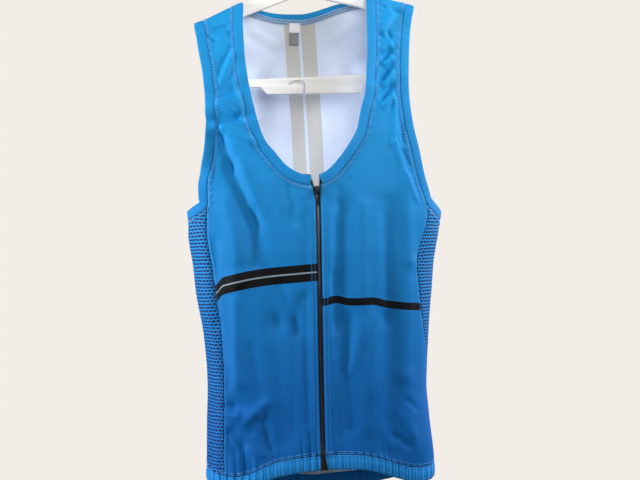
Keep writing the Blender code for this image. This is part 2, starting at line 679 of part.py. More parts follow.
def pull_tab():
    """Flat tab with an eye round the slider's pin, hanging from it."""
    _, pin = slider_frame()
    outer, hole = 1.9, 1.1
    arc = [(outer * math.sin(math.radians(a)), outer * math.cos(math.radians(a)))
           for a in range(-150, 151, 20)]
    outline = [(y, z) for y, z in arc] + [(0.75, -3.2), (0.75, -TAB), (-0.75, -TAB), (-0.75, -3.2)]
    eye = [(hole * math.sin(math.radians(a)), hole * math.cos(math.radians(a)))
           for a in range(0, 360, 24)]
    points, faces = plate(outline, [eye], -0.95, 0.95, "x")
    broad = (points[:, 2] < -3.5)
    points[broad, 0] *= 2.4
    return solid("zip_pull", points + pin, faces, "slider metal", origin=pin)


# ---- labels ----

def label(name, left, right, top, bottom, colour):
    xs, drops = np.linspace(left, right, 4), np.linspace(top, bottom, 4)
    grid_x, grid_drop = np.meshgrid(xs, drops)
    theta, q = place(grid_x, grid_drop, back=True)
    return wall(name, theta, q, colour, out=-CLOTH - 0.4, thick=1.0)


# ---- hanger ----

def rounded(corners, steps=5):
    """Closed outline through corners, each turned with its own radius."""
    outline = []
    for i, (x, z, radius) in enumerate(corners):
        here = np.array([x, z], float)
        before = unit(np.array(corners[i - 1][:2], float) - here)
        after = unit(np.array(corners[(i + 1) % len(corners)][:2], float) - here)
        if radius == 0:
            outline.append(tuple(here))
            continue
        half = math.acos(float(np.clip(before @ after, -1, 1))) / 2
        reach = radius / math.tan(half)
        centre = here + unit(before + after) * radius / math.sin(half)
        first, last = here + before * reach - centre, here + after * reach - centre
        turn = math.acos(float(np.clip(unit(first) @ unit(last), -1, 1)))
        for k in range(steps + 1):
            t = k / steps
            mix = (first * math.sin((1 - t) * turn) + last * math.sin(t * turn)) / math.sin(turn)
            outline.append(tuple(centre + mix))
    return outline


def hanger():
    """Moulded hanger: hook, sloping arms, upright sides and a bar with a tie slit."""
    tilt = lambda drop: TILT["foot"] + (TILT["top"] - TILT["foot"]) * (189 - drop) / 20.4
    low = lambda x, drop: -(drop - tilt(drop) * x)
    top = lambda x: -(float(ridge(x)) + 2.6)
    hook_centre, hook_radius, wire = -18.0, 20.5, 2.5
    outline = []
    for a in range(-70, 171, 15):
        turn = math.radians(90 - a)
        outline.append(((hook_radius + wire) * math.cos(turn),
                        hook_centre + (hook_radius + wire) * math.sin(turn)))
    outline = [(-x, z) for x, z in outline]
    inner = []
    for a in range(-70, 156, 15):
        turn = math.radians(90 - a)
        inner.append((-(hook_radius - wire) * math.cos(turn),
                      hook_centre + (hook_radius - wire) * math.sin(turn)))
    stem = [(-5.5, -41.0), (-9, -46.5), (-22, top(-22))]
    left_arm = [(x, top(x)) for x in (-40, -60, -78, -96, -110)]
    tip_left = rounded([(-110, top(-110), 0), (-119, top(-119), 7), (-119, low(-119, 179), 8),
                        (-60, low(-60, 179), 4), (-52, low(-52, 189), 6),
                        (-24, low(-24, 189), 0)])[1:-1]
    slit = [(-8.6, low(-8.6, 189)), (-8.6, low(-8.6, 181)), (-9.6, low(-9.6, 178.2)),
            (-13, low(-13, 176.2)), (-19, low(-19, 175.6)), (-26.2, low(-26.2, 178)),
            (-26.8, low(-26.8, 175.2)), (-21, low(-21, 172.4)), (-15, low(-15, 171.4)),
            (-9.5, low(-9.5, 172.2)), (-6.4, low(-6.4, 175.2)), (-5.6, low(-5.6, 180)),
            (-5.6, low(-5.6, 189))]
    tip_right = rounded([(20, low(20, 189), 0), (66, low(66, 189), 3), (68, low(68, 179), 3),
                         (116, low(116, 179), 8), (116, top(116), 7), (107, top(107), 0)])[1:-1]
    right_arm = [(x, top(x)) for x in (107, 92, 73, 56, 36)]
    neck = [(18, top(18)), (8, -45.5), (5.5, -41.2)]
    path = (outline + stem + left_arm + tip_left + slit + tip_right + right_arm + neck
            + inner[::-1])
    hole = rounded([(-108, -(float(ridge(-108)) + 17), 9), (-8, -65, 30),
                    (105, -(float(ridge(105)) + 17), 9), (105, low(105, 168.6), 12),
                    (-108, low(-108, 168.6), 12)], steps=4)
    points, faces = plate(path, [hole], -HANGER / 2, HANGER / 2, "y", chamfer=0.9)
    return solid("hanger", points, faces, "white plastic")


# ---- build ----

for old in list(bpy.data.objects):
    bpy.data.objects.remove(old)

fronts = {side: front(side) for side in ("right", "left")}
sides = {side: side_panel(side) for side in ("right", "left")}
rear = back_panel()
for side in ("right", "left"):
    wall("front_" + side, *fronts[side], "azure knit")
    wall("side_" + side, *sides[side], "azure mesh")
    theta, q = arm_edge(side, fronts, rear, sides[side])
    binding("armhole_binding_" + side, theta, q, BINDING, "azure knit", closed=True)
    zip_half(side)
wall("back", *rear, "azure knit")
theta, q, width = neck_edge(fronts, rear)
binding("neck_binding", theta, q, width, "azure knit", closed=False, ends=zip_corners())
hem_band([(piece[0][-1], piece[1][-1]) for piece in (*fronts.values(), *sides.values(), rear)])
slider()
pull_tab()
label("neck_label", -21.5, -7.2, 97, 108.6, "white label")
label("care_label", -21.5, -9.2, 109.1, 124, "grey label")
hanger()
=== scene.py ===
import json
import math
import bpy
import bmesh
import numpy as np
from mathutils import Matrix, Vector
from mathutils.geometry import tessellate_polygon


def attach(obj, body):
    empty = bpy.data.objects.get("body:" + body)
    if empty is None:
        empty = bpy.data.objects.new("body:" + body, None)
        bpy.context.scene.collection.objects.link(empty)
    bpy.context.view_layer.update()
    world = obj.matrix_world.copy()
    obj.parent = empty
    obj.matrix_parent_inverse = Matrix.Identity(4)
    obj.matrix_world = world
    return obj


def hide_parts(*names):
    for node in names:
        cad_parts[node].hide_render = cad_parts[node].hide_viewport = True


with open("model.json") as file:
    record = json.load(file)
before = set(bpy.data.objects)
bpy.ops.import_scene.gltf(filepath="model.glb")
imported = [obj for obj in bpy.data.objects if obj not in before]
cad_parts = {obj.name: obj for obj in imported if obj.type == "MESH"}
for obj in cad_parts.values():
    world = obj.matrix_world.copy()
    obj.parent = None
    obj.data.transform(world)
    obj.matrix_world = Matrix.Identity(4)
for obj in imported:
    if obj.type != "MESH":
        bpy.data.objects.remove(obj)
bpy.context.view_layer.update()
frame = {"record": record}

# Women's cycling tank on its hanger. Everything below is in millimetres: x to the wearer's
# left, front towards -y, and drop is the distance under the hook's inner top.

# small helpers

def hexToLinear(code):
    parts = [int(code[i:i + 2], 16) / 255 for i in (0, 2, 4)]
    return tuple(c / 12.92 if c <= 0.04045 else ((c + 0.055) / 1.055) ** 2.4 for c in parts)


def rgba(code):
    return (*hexToLinear(code), 1.0)


def through(knots, values, at):
    # smooth curve through a table, without overshoot
    knots, values, at = (np.asarray(a, float) for a in (knots, values, at))
    step = np.diff(knots)
    slope = np.diff(values) / step
    tangent = np.zeros(len(knots))
    tangent[0], tangent[-1] = slope[0], slope[-1]
    total = slope[:-1] + slope[1:]
    total = np.where(np.abs(total) < 1e-12, 1.0, total)
    product = slope[:-1] * slope[1:]
    tangent[1:-1] = np.where(product > 0, 2 * product / total, 0.0)
    i = np.clip(np.searchsorted(knots, at) - 1, 0, len(step) - 1)
    t = np.clip((at - knots[i]) / step[i], 0.0, 1.0)
    rise = values[i] * (1 + 2 * t) * (1 - t) ** 2 + values[i + 1] * t * t * (3 - 2 * t)
    lean = tangent[i] * t * (1 - t) ** 2 - tangent[i + 1] * t * t * (1 - t)
    return rise + lean * step[i]


def reading(table, at, index=1):
    # smooth curve of one of a table's columns, by its first
    return through([row[0] for row in table], [row[index] for row in table], at)


def dense(table, count=300):
    points = np.asarray(table, float)
    along = np.concatenate([[0], np.cumsum(np.hypot(*np.diff(points, axis=0).T))])
    at = np.linspace(0, along[-1], count)
    return through(along, points[:, 0], at), through(along, points[:, 1], at)


def unit(vectors):
    return vectors / np.maximum(np.linalg.norm(vectors, axis=-1, keepdims=True), 1e-12)


def lengths(points):
    return np.concatenate([[0], np.cumsum(np.linalg.norm(np.diff(points, axis=0), axis=1))])


# the body of the garment

body = {
    "wall": 1.2,            # CAD wall of the knit
    "knit": 0.9,            # wall that shows here
    "gap": 0.3,
    "roll": 8.0,            # turn over the hanger
    "seamBehind": 6.0,
    "shoulder": 82.0,
    "underarm": 330.0,
    "swell": 260.0,
    "square": 0.023,
    "ridge": [
        (-180, 125), (-141.6, 105.6), (-92.5, 81), (-78, 75.4), (-8, 46), (73, 62.6), (122, 73.8),
        (134, 77.2), (180, 91)],
    "sections": [  # drop, middle, half width, depth in front, depth behind
        (62, -4, 182, 52, 46), (172, -3, 174, 52, 46), (262, 0, 166, 52, 46),
        (325, 3.6, 156, 52, 46), (345, 4.4, 158.4, 52, 46), (364, 3, 157.6, 52, 46),
        (384, 2.4, 154.4, 52, 46), (400, 2.4, 151.8, 51, 46),
        (434, 2.8, 148.6, 50, 46), (484, 4, 142, 48, 46), (552, 3.4, 138, 47, 47),
        (597, 4.6, 140.3, 47, 48), (647, 6.2, 142.5, 48, 49), (700, 5.4, 142, 48, 49)],
    "hem": [  # degrees from the middle of the front towards the wearer's right, drop
        (-180, 694), (-150, 689), (-130, 681), (-110, 674), (-90, 671), (-75, 672.5), (-60, 674),
        (-45, 671.5), (-36, 666), (-24, 656.5), (-16, 651.5), (0, 648.5), (10, 650), (24, 655),
        (31, 661), (40, 668.5), (50, 671), (62, 669), (75, 665), (90, 663), (110, 666),
        (130, 674), (150, 686), (180, 694)],
}

folds = {  # on each face: x, drop, x, drop, half width, rise
    "front": [
        (-118, 193, -92, 185, 6, -2.4), (-116, 207, -92, 203, 7, 2.2),
        (-118, 224, -84, 222, 6, -4.4), (-110, 236, -76, 254, 7, 3),
        (-112, 246, -103, 284, 6, -4), (-103, 284, -76, 350, 9, -3.2),
        (-76, 350, -52, 470, 12, -3), (-52, 470, -44, 610, 13, -2.6),
        (-108, 320, -98, 420, 11, 2.8), (-98, 420, -94, 540, 12, 2.6),
        (-123, 372, -122, 470, 6, -2.2), (-122, 470, -111, 545, 6, -2.2),
        (-17, 440, -17, 590, 6, -1.4), (84, 152, 96, 139, 5, -2.6), (80, 178, 93, 164, 5, -2.6),
        (77, 202, 99, 182, 5, -2), (27, 330, 27, 470, 8, -2.4), (27, 470, 34, 600, 9, -2.8),
        (52, 330, 56, 600, 12, 2), (86, 330, 84, 470, 10, -2.6), (84, 470, 82, 630, 11, -3),
        (110, 300, 114, 400, 8, 3), (110, 400, 106, 540, 10, 2.8), (106, 540, 116, 630, 10, 2.4),
        (-106, 568, -96, 571, 5, -2.6), (-101, 580, -94, 591, 6, 2.2), (-88, 584, -67, 565, 6, 3),
        (-109, 600, -95, 616, 5, -3.2), (-95, 616, -90, 646, 6, -2.8),
        (-66, 610, -56, 634, 8, -2.2)],
    "back": [
        (-96, 130, -112, 200, 9, -2.4), (90, 120, 104, 190, 9, -2.4),
        (-64, 170, -52, 340, 14, -3), (60, 160, 46, 330, 14, -3), (-84, 360, -70, 600, 13, -2.8),
        (-28, 330, -24, 620, 13, -2.4), (34, 340, 40, 640, 13, -2.6),
        (88, 380, 80, 630, 12, -2.8), (2, 200, 6, 620, 15, 1.8), (-104, 420, -98, 600, 10, 2)],
}

# smaller creases of the straps, seam lips and the corner over the hem, in the same columns
creases = {
    "front": [
        (-117.2, 113.4, -102.8, 109.9, 2.6, -2.2), (-115.8, 108.9, -100.8, 106, 2.6, 1.7),
        (-126.2, 120.9, -117.7, 125.7, 3, -2.5), (-99.4, 117.8, -95.8, 119.8, 2.6, -2.2),
        (-94.8, 142.4, -109.6, 176.3, 4.2, 2.7), (-98.3, 137.2, -112.9, 166.1, 4, -1.8),
        (-115.2, 198.8, -94.8, 190.5, 3.4, -2.9), (-114.2, 203.8, -96.9, 216.6, 4.2, 3),
        (-112.5, 228.7, -93, 225.3, 3.4, -2.9), (-118.6, 229.8, -113.2, 253.2, 3, -2.5),
        (-110.3, 234.9, -80.5, 251.2, 4.6, 3.9), (-94.9, 176.7, -83.3, 227.9, 2.6, 1.4),
        (-103, 277.7, -82.9, 341.9, 6, -1.9), (-89.7, 275.5, -68.4, 342, 6, 1.7),
        (89.4, 78.3, 95.6, 80.9, 2.6, -2.2), (106.7, 85.3, 116.7, 87.7, 3.2, -2.7),
        (104.3, 91.2, 92.1, 109.5, 4, 2.7), (87.8, 117.3, 90.2, 119.2, 3.2, -2.7),
        (98.7, 115.9, 100.9, 119.7, 3.2, -2.7), (100.2, 138.9, 92.1, 146.7, 3.4, -2.9),
        (99.5, 130.6, 91.4, 137.8, 3.4, 2.9), (99.6, 147.8, 91.5, 155.5, 3.4, 2.9),
        (99.6, 156.7, 87.8, 173.2, 3.7, -3.1), (99.5, 168, 89.8, 182, 3.7, 3.1),
        (97.2, 184.3, 86.2, 198.2, 3.7, -3.1), (97.8, 195.6, 86.9, 208.2, 3.7, 3.1),
        (101.3, 201.7, 97, 254.7, 2.8, 2.4), (99, 254.7, 107.7, 289.8, 2.8, 2.3),
        (109.7, 289.8, 123.8, 324.7, 2.8, 2.3), (108.4, 231.3, 109.2, 253.3, 2.2, -1.9),
        (109.3, 265.5, 115.1, 281.2, 2.2, -1.9), (-123.5, 230.9, -127.5, 294.3, 2.6, 1.7),
        (-18.8, 330.1, -20.6, 612.6, 2.6, 1.1), (-116, 569.6, -104, 571.2, 3, -2.5),
        (-112.6, 577.8, -101.9, 582, 3.4, 2.4), (-114.3, 604.7, -105.2, 625.8, 3.2, -2.6),
        (-99.2, 568.5, -73, 582.2, 3.4, 2.2), (-102.1, 591.7, -85.5, 601.9, 4, -1.7),
        (-93, 614.3, -74.1, 628, 4, 1.8), (-73.1, 583.4, -61.9, 620.4, 5, -1.7),
        (107.2, 571, 117.6, 581.3, 3, -2.2), (101.4, 587.7, 113.8, 614.8, 4, 1.9),
        (92.9, 613.8, 110.6, 629.1, 4, -1.9), (75.5, 601.3, 84.8, 627.9, 5, 1.6),
        (26.6, 312, 20.6, 432, 6, -1.9), (53.1, 330, 51.1, 444.1, 7, 1.6),
        (82.5, 341.9, 83.5, 444.3, 6, -1.9), (13.7, 342, 12, 432, 4, 1.2),
        (38.5, 462.2, 27.5, 530.8, 5, -2.2), (53.1, 474.3, 37.3, 530.9, 5, 1.7),
        (17.2, 414, 19.9, 480.2, 5, -2.2), (-100, 353.9, -95.9, 391.3, 6, 1.9),
        (-75.5, 335.9, -79.2, 398.5, 7, -2.4), (-27.8, 354, -18.5, 372, 5, 1.4),
        (-46, 426.1, -25.1, 480.2, 8, -2.2), (-101.6, 444.6, -101, 541.9, 6, 2.2),
        (-24.5, 444.1, -29.9, 480.2, 6, -1.7), (-9.5, 330, -9.5, 628, 3.6, 1.2),
        (9.5, 330, 9.5, 628, 3.6, 1.2), (-18, 345, -20, 610, 5, -1.3),
        (18.5, 350, 19, 610, 5, -1.3), (-60, 300, -44, 330, 7, 1.6),
        (-36, 310, -30, 352, 5, -1.4), (40, 300, 36, 340, 5, -1.2), (70, 470, 62, 560, 7, 1.6),
        (-84, 500, -66, 600, 7, -1.6), (-30, 470, -34, 600, 6, -1.4)],
    "back": [
        (-118, 110, -98, 106, 3, -2.5), (-112, 126, -96, 140, 4, -3),
        (-110, 150, -94, 168, 4, 2.7), (116, 92, 98, 88, 3, -2.5), (110, 112, 92, 128, 4, -3.3),
        (106, 140, 90, 158, 4, 2.7), (-106, 250, -84, 300, 6, -2.4), (104, 250, 82, 310, 6, -2.4),
        (-118, 330, -96, 392, 6, 2.2), (116, 335, 98, 400, 6, 2.2), (-50, 380, -46, 560, 8, 1.9),
        (62, 360, 58, 600, 8, 1.9), (-8, 400, -4, 640, 8, -1.9), (104, 470, 100, 640, 7, -2.2),
        (-116, 560, -98, 580, 5, -2.4), (112, 600, 90, 630, 5, -2.4),
        (-66, 110, -40, 124, 6, -1.8), (56, 100, 34, 116, 6, -1.8)],
}


def ridge(x):
    return reading(body["ridge"], x)


def section(level, index):
    return reading(body["sections"], level, index)


def fade(level):
    t = np.clip((body["underarm"] - level) / (body["underarm"] - body["shoulder"]), 0.0, 1.0)
    return t * t * (3 - 2 * t)


def ring(theta):
    angle, k = np.radians(theta), body["square"]
    return ((1 + k) * np.cos(angle) - k * np.cos(3 * angle),
            (1 + k) * np.sin(angle) + k * np.sin(3 * angle))


def base(theta, q):
    # theta goes round from the wearer's left, q is mm of cloth below the shoulder ridge
    theta, q = np.broadcast_arrays(np.asarray(theta, float), np.asarray(q, float))
    roll = body["roll"]
    angle = np.clip(np.abs(q) / roll, 0, math.pi / 2)
    fall = roll * (1 - np.cos(angle)) + np.maximum(np.abs(q) - roll * math.pi / 2, 0)
    level = body["shoulder"] + fall
    across, outward = ring(theta)
    x = section(level, 1) + section(level, 2) * across
    drop = level + (ridge(x) - body["shoulder"]) * fade(level)
    facing = np.where(q < 0, -1.0, 1.0)
    depth = np.where(outward * facing > 0, section(level, 3), section(level, 4))
    swell = np.sin(math.pi / 2 * np.clip(fall / body["swell"], 0, 1))
    turn = roll * np.sin(angle) * np.sin(math.pi / 2 * np.clip(outward / 0.6, -1, 1))
    y = -facing * (turn + (depth - roll) * swell * outward)
    return np.stack([x, y, -drop], axis=-1)


def levelToQ(level):
    roll = body["roll"]
    fall = np.asarray(level, float) - body["shoulder"]
    turned = np.arccos(np.clip(1 - fall / roll, -1, 1)) * roll
    return np.where(fall < roll, turned, fall + roll * (math.pi / 2 - 1))


def levelOf(q):
    return body["shoulder"] + np.asarray(q, float) - body["roll"] * (math.pi / 2 - 1)


def place(x, drop, back=False):
    x, drop = np.asarray(x, float), np.asarray(drop, float)
    top = body["shoulder"]
    level = np.maximum(drop - (ridge(x) - top), top)
    for _ in range(40):
        level = 0.5 * level + 0.5 * (drop - (ridge(x) - top) * fade(level))
    level = np.maximum(level, top)
    angles = np.linspace(180, 0, 1801)
    theta = np.interp((x - section(level, 1)) / section(level, 2), ring(angles)[0], angles)
    return (360 - theta if back else theta), levelToQ(level)


def normalOf(surface, theta, q):
    roundStep = surface(theta + 0.03, q) - surface(theta - 0.03, q)
    downStep = surface(theta, q + 0.06) - surface(theta, q - 0.06)
    return unit(np.cross(roundStep, downStep))


def foldLines(table):
    lines = []
    for face, rows in table.items():
        for x0, drop0, x1, drop1, width, rise in rows:
            ends = [base(*place(x, drop, face == "back"))
                    for x, drop in ((x0, drop0), (x1, drop1))]
            lines.append((*ends, width, rise))
    return lines


creaseLines = foldLines(folds) + foldLines(creases)


gathers = {
    "count": 74, "height": 2.9, "reach": 17.0, "slack": 0.9,
    "seams": (147.9, 214.0, 302.0, 354.3),  # angles of the side seams at the hem
}


def gathered(theta, q):
    # small uneven puckers that the elastic hem draws in the cloth above it, and soft slack
    level = hemQ(theta, hemJoin) - q
    turned = (theta + 90) % 360 - 90
    # share runs to pi at the middle of the back, and its sines keep the gathers uneven
    half = roundLength(np.full_like(turned, 270.0), q)
    share = math.pi * roundLength(turned, q) / half
    turns = gathers["count"] * share + 1.4 * np.sin(3 * share) + 0.9 * np.sin(8 * share)
    wave = np.sin(turns) + 0.25 * np.sin(2 * turns + 0.6)
    uneven = 0.62 + 0.38 * np.sin(5 * share + 1.1 * np.sin(2 * share) + 0.8)
    fall = np.exp(-np.clip(level, 0, None) / (gathers["reach"] * (0.6 + 0.7 * uneven)))
    slack = np.sin(9 * share + q / 46) * np.sin(q / 61 + 2.2 * np.sin(2 * share))
    loose = np.clip((q - 40) / 120, 0, 1) * np.clip(level / 60, 0, 1)
    loose = loose * np.clip(np.abs(turned - 90) / 12 - 0.4, 0, 1)
    # the seam itself stays flat, and so does the cloth stitched to the zip's tape
    held = np.clip(0.4 + level / 9, 0.25, 1) * np.clip(np.abs(turned - 90) / 3 - 0.4, 0.1, 1)
    for seam in gathers["seams"]:
        held = held * np.clip(np.abs((theta - seam + 180) % 360 - 180) / 3 - 0.2, 0, 1)
    return (gathers["height"] * wave * uneven * fall * held
            + gathers["slack"] * slack * loose)


def folded(theta, q):
    points = base(theta, q)
    lift = np.zeros(points.shape[:-1])
    for start, end, width, rise in creaseLines:
        along = end - start
        t = np.clip(((points - start) @ along) / (along @ along), 0, 1)
        away = np.linalg.norm(points - start - t[..., None] * along, axis=-1)
        lift = lift + rise * np.exp(-(away / width) ** 2)
    lift = lift + gathered(theta, q)
    return points + normalOf(base, theta, q) * lift[..., None]


def skin(theta, q, out=0.0):
    theta, q = np.broadcast_arrays(np.asarray(theta, float), np.asarray(q, float))
    out = np.broadcast_to(np.asarray(out, float), theta.shape)
    return folded(theta, q) + normalOf(folded, theta, q) * out[..., None]


# seams that pieces share

seams = {
    "neckRight": [
        (-91.5, 80.6), (-93.5, 107), (-93, 141), (-90, 178), (-85.2, 203), (-79.6, 231),
        (-68.5, 260), (-59, 272), (-44.3, 290), (-22.3, 303), (-6.2, 306)],
    "neckLeft": [
        (84.5, 65.4), (83.5, 86), (82.3, 115), (80.5, 142), (78, 164), (74.5, 194),
        (68, 216), (62.3, 240), (48.5, 264), (32, 285), (18, 298), (4, 305)],
    "neckBack": [
        (-91.5, 82.9), (-90.2, 86.4), (-87, 88.9), (-82, 90), (-74, 90.8), (-62, 93.4),
        (-50, 96.6), (-40, 98.4), (-22, 99.5), (-4, 99.4), (10, 96.8), (24, 92.4), (38, 87.2),
        (50, 83.4), (60, 80.8), (70, 78.6), (77, 76.6), (81.5, 73.6), (84.5, 67.8)],
    "armRight": [
        (-130.5, 99.8), (-126.3, 136), (-122, 166), (-120, 202), (-120.5, 227), (-121.6, 251),
        (-125, 275), (-129, 293), (-134, 311), (-139, 330)],
    "armLeft": [
        (125, 74.6), (118.5, 99), (114, 128), (111.5, 153), (109.5, 190), (112, 227),
        (119.5, 264), (125.5, 293), (130.5, 311), (136.4, 330)],
    "armBackRight": [
        (-130.5, 102), (-123, 136), (-117, 180), (-115.5, 227), (-119, 275), (-129, 311),
        (-139, 330)],
    "armBackLeft": [
        (125, 76.8), (116, 118), (110.5, 170), (109.5, 220), (115, 270), (129, 311),
        (136.4, 330)],
    "sideRight": [(330, 33, 33), (420, 34, 34), (520, 33, 34), (660, 32, 34)],
    "sideLeft": [
        (330, 33, 33), (362, 36, 29), (395, 40, 27), (430, 37, 30), (462, 32, 34),
        (492, 24, 41), (528, 10, 50), (572, -2, 56), (660, -6, 58)],
    "sideTop": {"right": 344.0, "left": 351.0},
    "rollRows": [-6.0, -4.0, -2.0, 0.0, 2.0, 4.0, 6.3, 8.5, 11.0, 14.0, 17.0, 20.0],
    "frontRows": 116,
    "backRows": 104,
    "bodyRows": 104,
    "frontColumns": 36,
    "backColumns": 64,
    "strapColumns": 10,
    "sideColumns": 20,
    "degree": 1.45,         # mm of cloth in a degree where the side seams are cut
}

signs = {"right": -1, "left": 1}    # of x, by the wearer's side

zipper = {
    "edge": 3.0,            # from the middle to each front's edge
    "tape": 13.0,           # and to the tape's outer side
    "inner": 1.6,           # and to its inner side
    "weave": 0.5,           # the tape's wall
    "top": 294.0,
    "open": 324.0,          # where the halves start to part
    "flare": {"right": 8.0, "left": 2.5},
    "pitch": 1.5,           # a number 5 coil
    "coil": {
        "across": 1.3, "swing": 1.15, "out": -0.35, "lift": 0.75, "wire": 0.34, "steps": 8},
    "sewn": 634.0,          # where the rows that hold the tape stop
    "tab": 17.0,
}

hemBand = {"height": 17.5, "ribs": 146, "rib": 0.75, "steps": 8, "ends": 645.0, "under": -0.9}
hemJoin = hemBand["height"] + body["gap"]   # from the hem up to the knit's lower edge
strapRows = len(seams["rollRows"]) + seams["frontRows"]     # rows above the underarm


def spread(theta, q, fractions):
    along = lengths(base(theta, q))
    at = np.asarray(fractions) * along[-1]
    return np.interp(at, along, theta), np.interp(at, along, q)


def edge(table, rows, back=False, overRidge=False):
    theta, q = place(*dense(table), back)
    order = np.argsort(q)
    roll = [r for r in seams["rollRows"] if overRidge or r > body["seamBehind"]]
    below = q > roll[-1]
    first = np.interp(roll[-1], q[order], theta[order])
    rest = spread(np.concatenate([[first], theta[below]]), np.concatenate([[roll[-1]], q[below]]),
                  np.linspace(0, 1, rows + 1)[1:])
    start = np.interp(np.maximum(roll, q[order][0]), q[order], theta[order])
    return np.concatenate([start, rest[0]]), np.concatenate([roll, rest[1]])


def flare(side, drop):
    t = (zipper["open"] - np.asarray(drop, float)) / (zipper["open"] - zipper["top"])
    return zipper["flare"][side] * np.clip(t, 0, 1) ** 1.3


def besideZip(side, across, drop):
    # angle of places beside the zip, whose halves part towards the top
    return place(signs[side] * (across + flare(side, drop)), drop)[0]


def hemQ(theta, above=0.0):
    away = (np.asarray(theta, float) + 90) % 360 - 180
    return levelToQ(reading(body["hem"], away) - above)


def hemMiddle():
    # drop of the hem at the zip
    return float(reading(body["hem"], 0))


def sideSeam(side, drop, back=False):
    table = seams["side" + side.capitalize()]
    away = reading(table, drop, 2 if back else 1)
    if back:
        away = -away
    return away if side == "left" else 180 - away


def seamRows(side, back=False):
    top = float(place(seams["arm" + side.capitalize()][-1][0], body["underarm"])[1])
    q = np.full(seams["bodyRows"] + 1, top)
    theta = sideSeam(side, levelOf(q), back)
    for _ in range(6):
        bottom = float(hemQ(theta[-1], hemJoin))
        q = np.linspace(top, bottom, seams["bodyRows"] + 1)
        theta = sideSeam(side, levelOf(q), back)
    return theta, q


def seamGap():
    return 0.5 * body["gap"] / seams["degree"]


def settleEnd(line, theta, q, count=16):
    ease = np.clip((np.arange(len(line[0])) - len(line[0]) + count + 1) / count, 0, 1)
    return line[0] + (theta - line[0][-1]) * ease, line[1] + (q - line[1][-1]) * ease


def frontPlaces(side):
    neck, sign = list(seams["neck" + side.capitalize()]), signs[side]
    neck[-1] = (sign * (zipper["edge"] + float(flare(side, neck[-1][1]))), neck[-1][1])
    inner = edge(neck, seams["frontRows"], overRidge=True)
    outer = edge(seams["arm" + side.capitalize()], seams["frontRows"], overRidge=True)
    seam = seamRows(side)
    part = np.linspace(0, 1, seams["bodyRows"] + 1)[1:]
    flat = float(hemQ(90, hemJoin))
    zipQ = inner[1][-1] + part * (flat - inner[1][-1])
    zipTheta = besideZip(side, zipper["edge"], levelOf(zipQ))
    shift = sign * seamGap()
    outer = settleEnd(outer, seam[0][0] + shift, seam[1][0])
    inner = np.concatenate([inner[0], zipTheta]), np.concatenate([inner[1], zipQ])
    outer = (np.concatenate([outer[0], seam[0][1:] + shift]),
             np.concatenate([outer[1], seam[1][1:]]))
    s = np.linspace(0, 1, 91)
    theta, q = [], []
    for i in range(len(inner[0])):
        rowTheta = inner[0][i] * (1 - s) + outer[0][i] * s
        rowQ = inner[1][i] * (1 - s) + outer[1][i] * s
        f = max(0, i - strapRows + 1) / seams["bodyRows"]
        bottom = hemQ(rowTheta, hemJoin)
        rowQ = rowQ + f * (bottom - flat * (1 - s) - outer[1][-1] * s)
        row = spread(rowTheta, rowQ, np.linspace(0, 1, seams["frontColumns"] + 1))
        theta.append(row[0])
        q.append(row[1])
    return np.array(theta), np.array(q)


def backPlaces():
    edges, strap, columns = {}, seams["strapColumns"], seams["backColumns"]
    for side in signs:
        arm = edge(seams["armBack" + side.capitalize()], seams["backRows"], back=True)
        seam = seamRows(side, back=True)
        down = seam[0] % 360 - signs[side] * seamGap()
        arm = settleEnd(arm, down[0], seam[1][0])
        edges[side] = (np.concatenate([arm[0], down[1:]]), np.concatenate([arm[1], seam[1][1:]]))
    right, left = edges["right"], edges["left"]
    neck = spread(*place(*dense(seams["neckBack"]), back=True),
                  np.linspace(0, 1, columns - 2 * strap + 1))
    topTheta = np.concatenate([np.linspace(right[0][0], neck[0][0], strap + 1)[:-1], neck[0],
                               np.linspace(neck[0][-1], left[0][0], strap + 1)[1:]])
    topQ = np.concatenate([np.full(strap, right[1][0]), neck[1], np.full(strap, left[1][0])])
    topQ[strap], topQ[-strap - 1] = right[1][0], left[1][0]
    rows, even = len(right[0]), np.linspace(0, 1, columns + 1)
    share = (topTheta - topTheta[0]) / (topTheta[-1] - topTheta[0])
    theta, q = np.zeros((rows, columns + 1)), np.zeros((rows, columns + 1))
    start = right[1][0] * (1 - even) + left[1][0] * even
    for i in range(rows):
        relax = min(1.0, i / (seams["backRows"] + 6))
        s = share * (1 - relax) + even * relax
        theta[i] = right[0][i] * (1 - s) + left[0][i] * s
        line = right[1][i] * (1 - s) + left[1][i] * s
        settle = max(0.0, 1 - (line[0] - start[0]) / 150.0) ** 1.5
        q[i] = line + (topQ - start) * settle
    below = rows - seams["bodyRows"]
    for i in range(below, rows):
        f = ((i - below + 1) / seams["bodyRows"]) ** 1.2
        line = right[1][-1] * (1 - even) + left[1][-1] * even
        q[i] += f * (hemQ(theta[i], hemJoin) - line)
    return theta, q


def sidePlaces(side):
    ahead, behind = seamRows(side), seamRows(side, back=True)
    toward = -signs[side] * seamGap()
    s = np.linspace(0, 1, seams["sideColumns"] + 1)[None, :]
    theta = (ahead[0] + toward)[:, None] * (1 - s) + (behind[0] - toward)[:, None] * s
    q = ahead[1][:, None] * (1 - s) + behind[1][:, None] * s
    part = np.linspace(0, 1, seams["bodyRows"] + 1)[:, None]
    dip = (seams["sideTop"][side] - body["underarm"]) * (1 - np.abs(2 * s - 1) ** 2.6)
    q = q + dip * (1 - part)
    bend = hemQ(theta[-1], hemJoin) - q[-1]
    return theta, q + bend * part


# meshes

def arcTable():
    # length of cloth round the body from the middle of the front, by level and angle
    levels, turns = np.linspace(62, 700, 40), np.linspace(-90, 450, 361)
    table = []
    for level in levels:
        walk = np.stack([section(level, 2) * ring(turns)[0], 50 * ring(turns)[1], 0 * turns], -1)
        along = lengths(walk)
        table.append(along - np.interp(90, turns, along))
    return levels, turns, np.array(table)


arcs = arcTable()


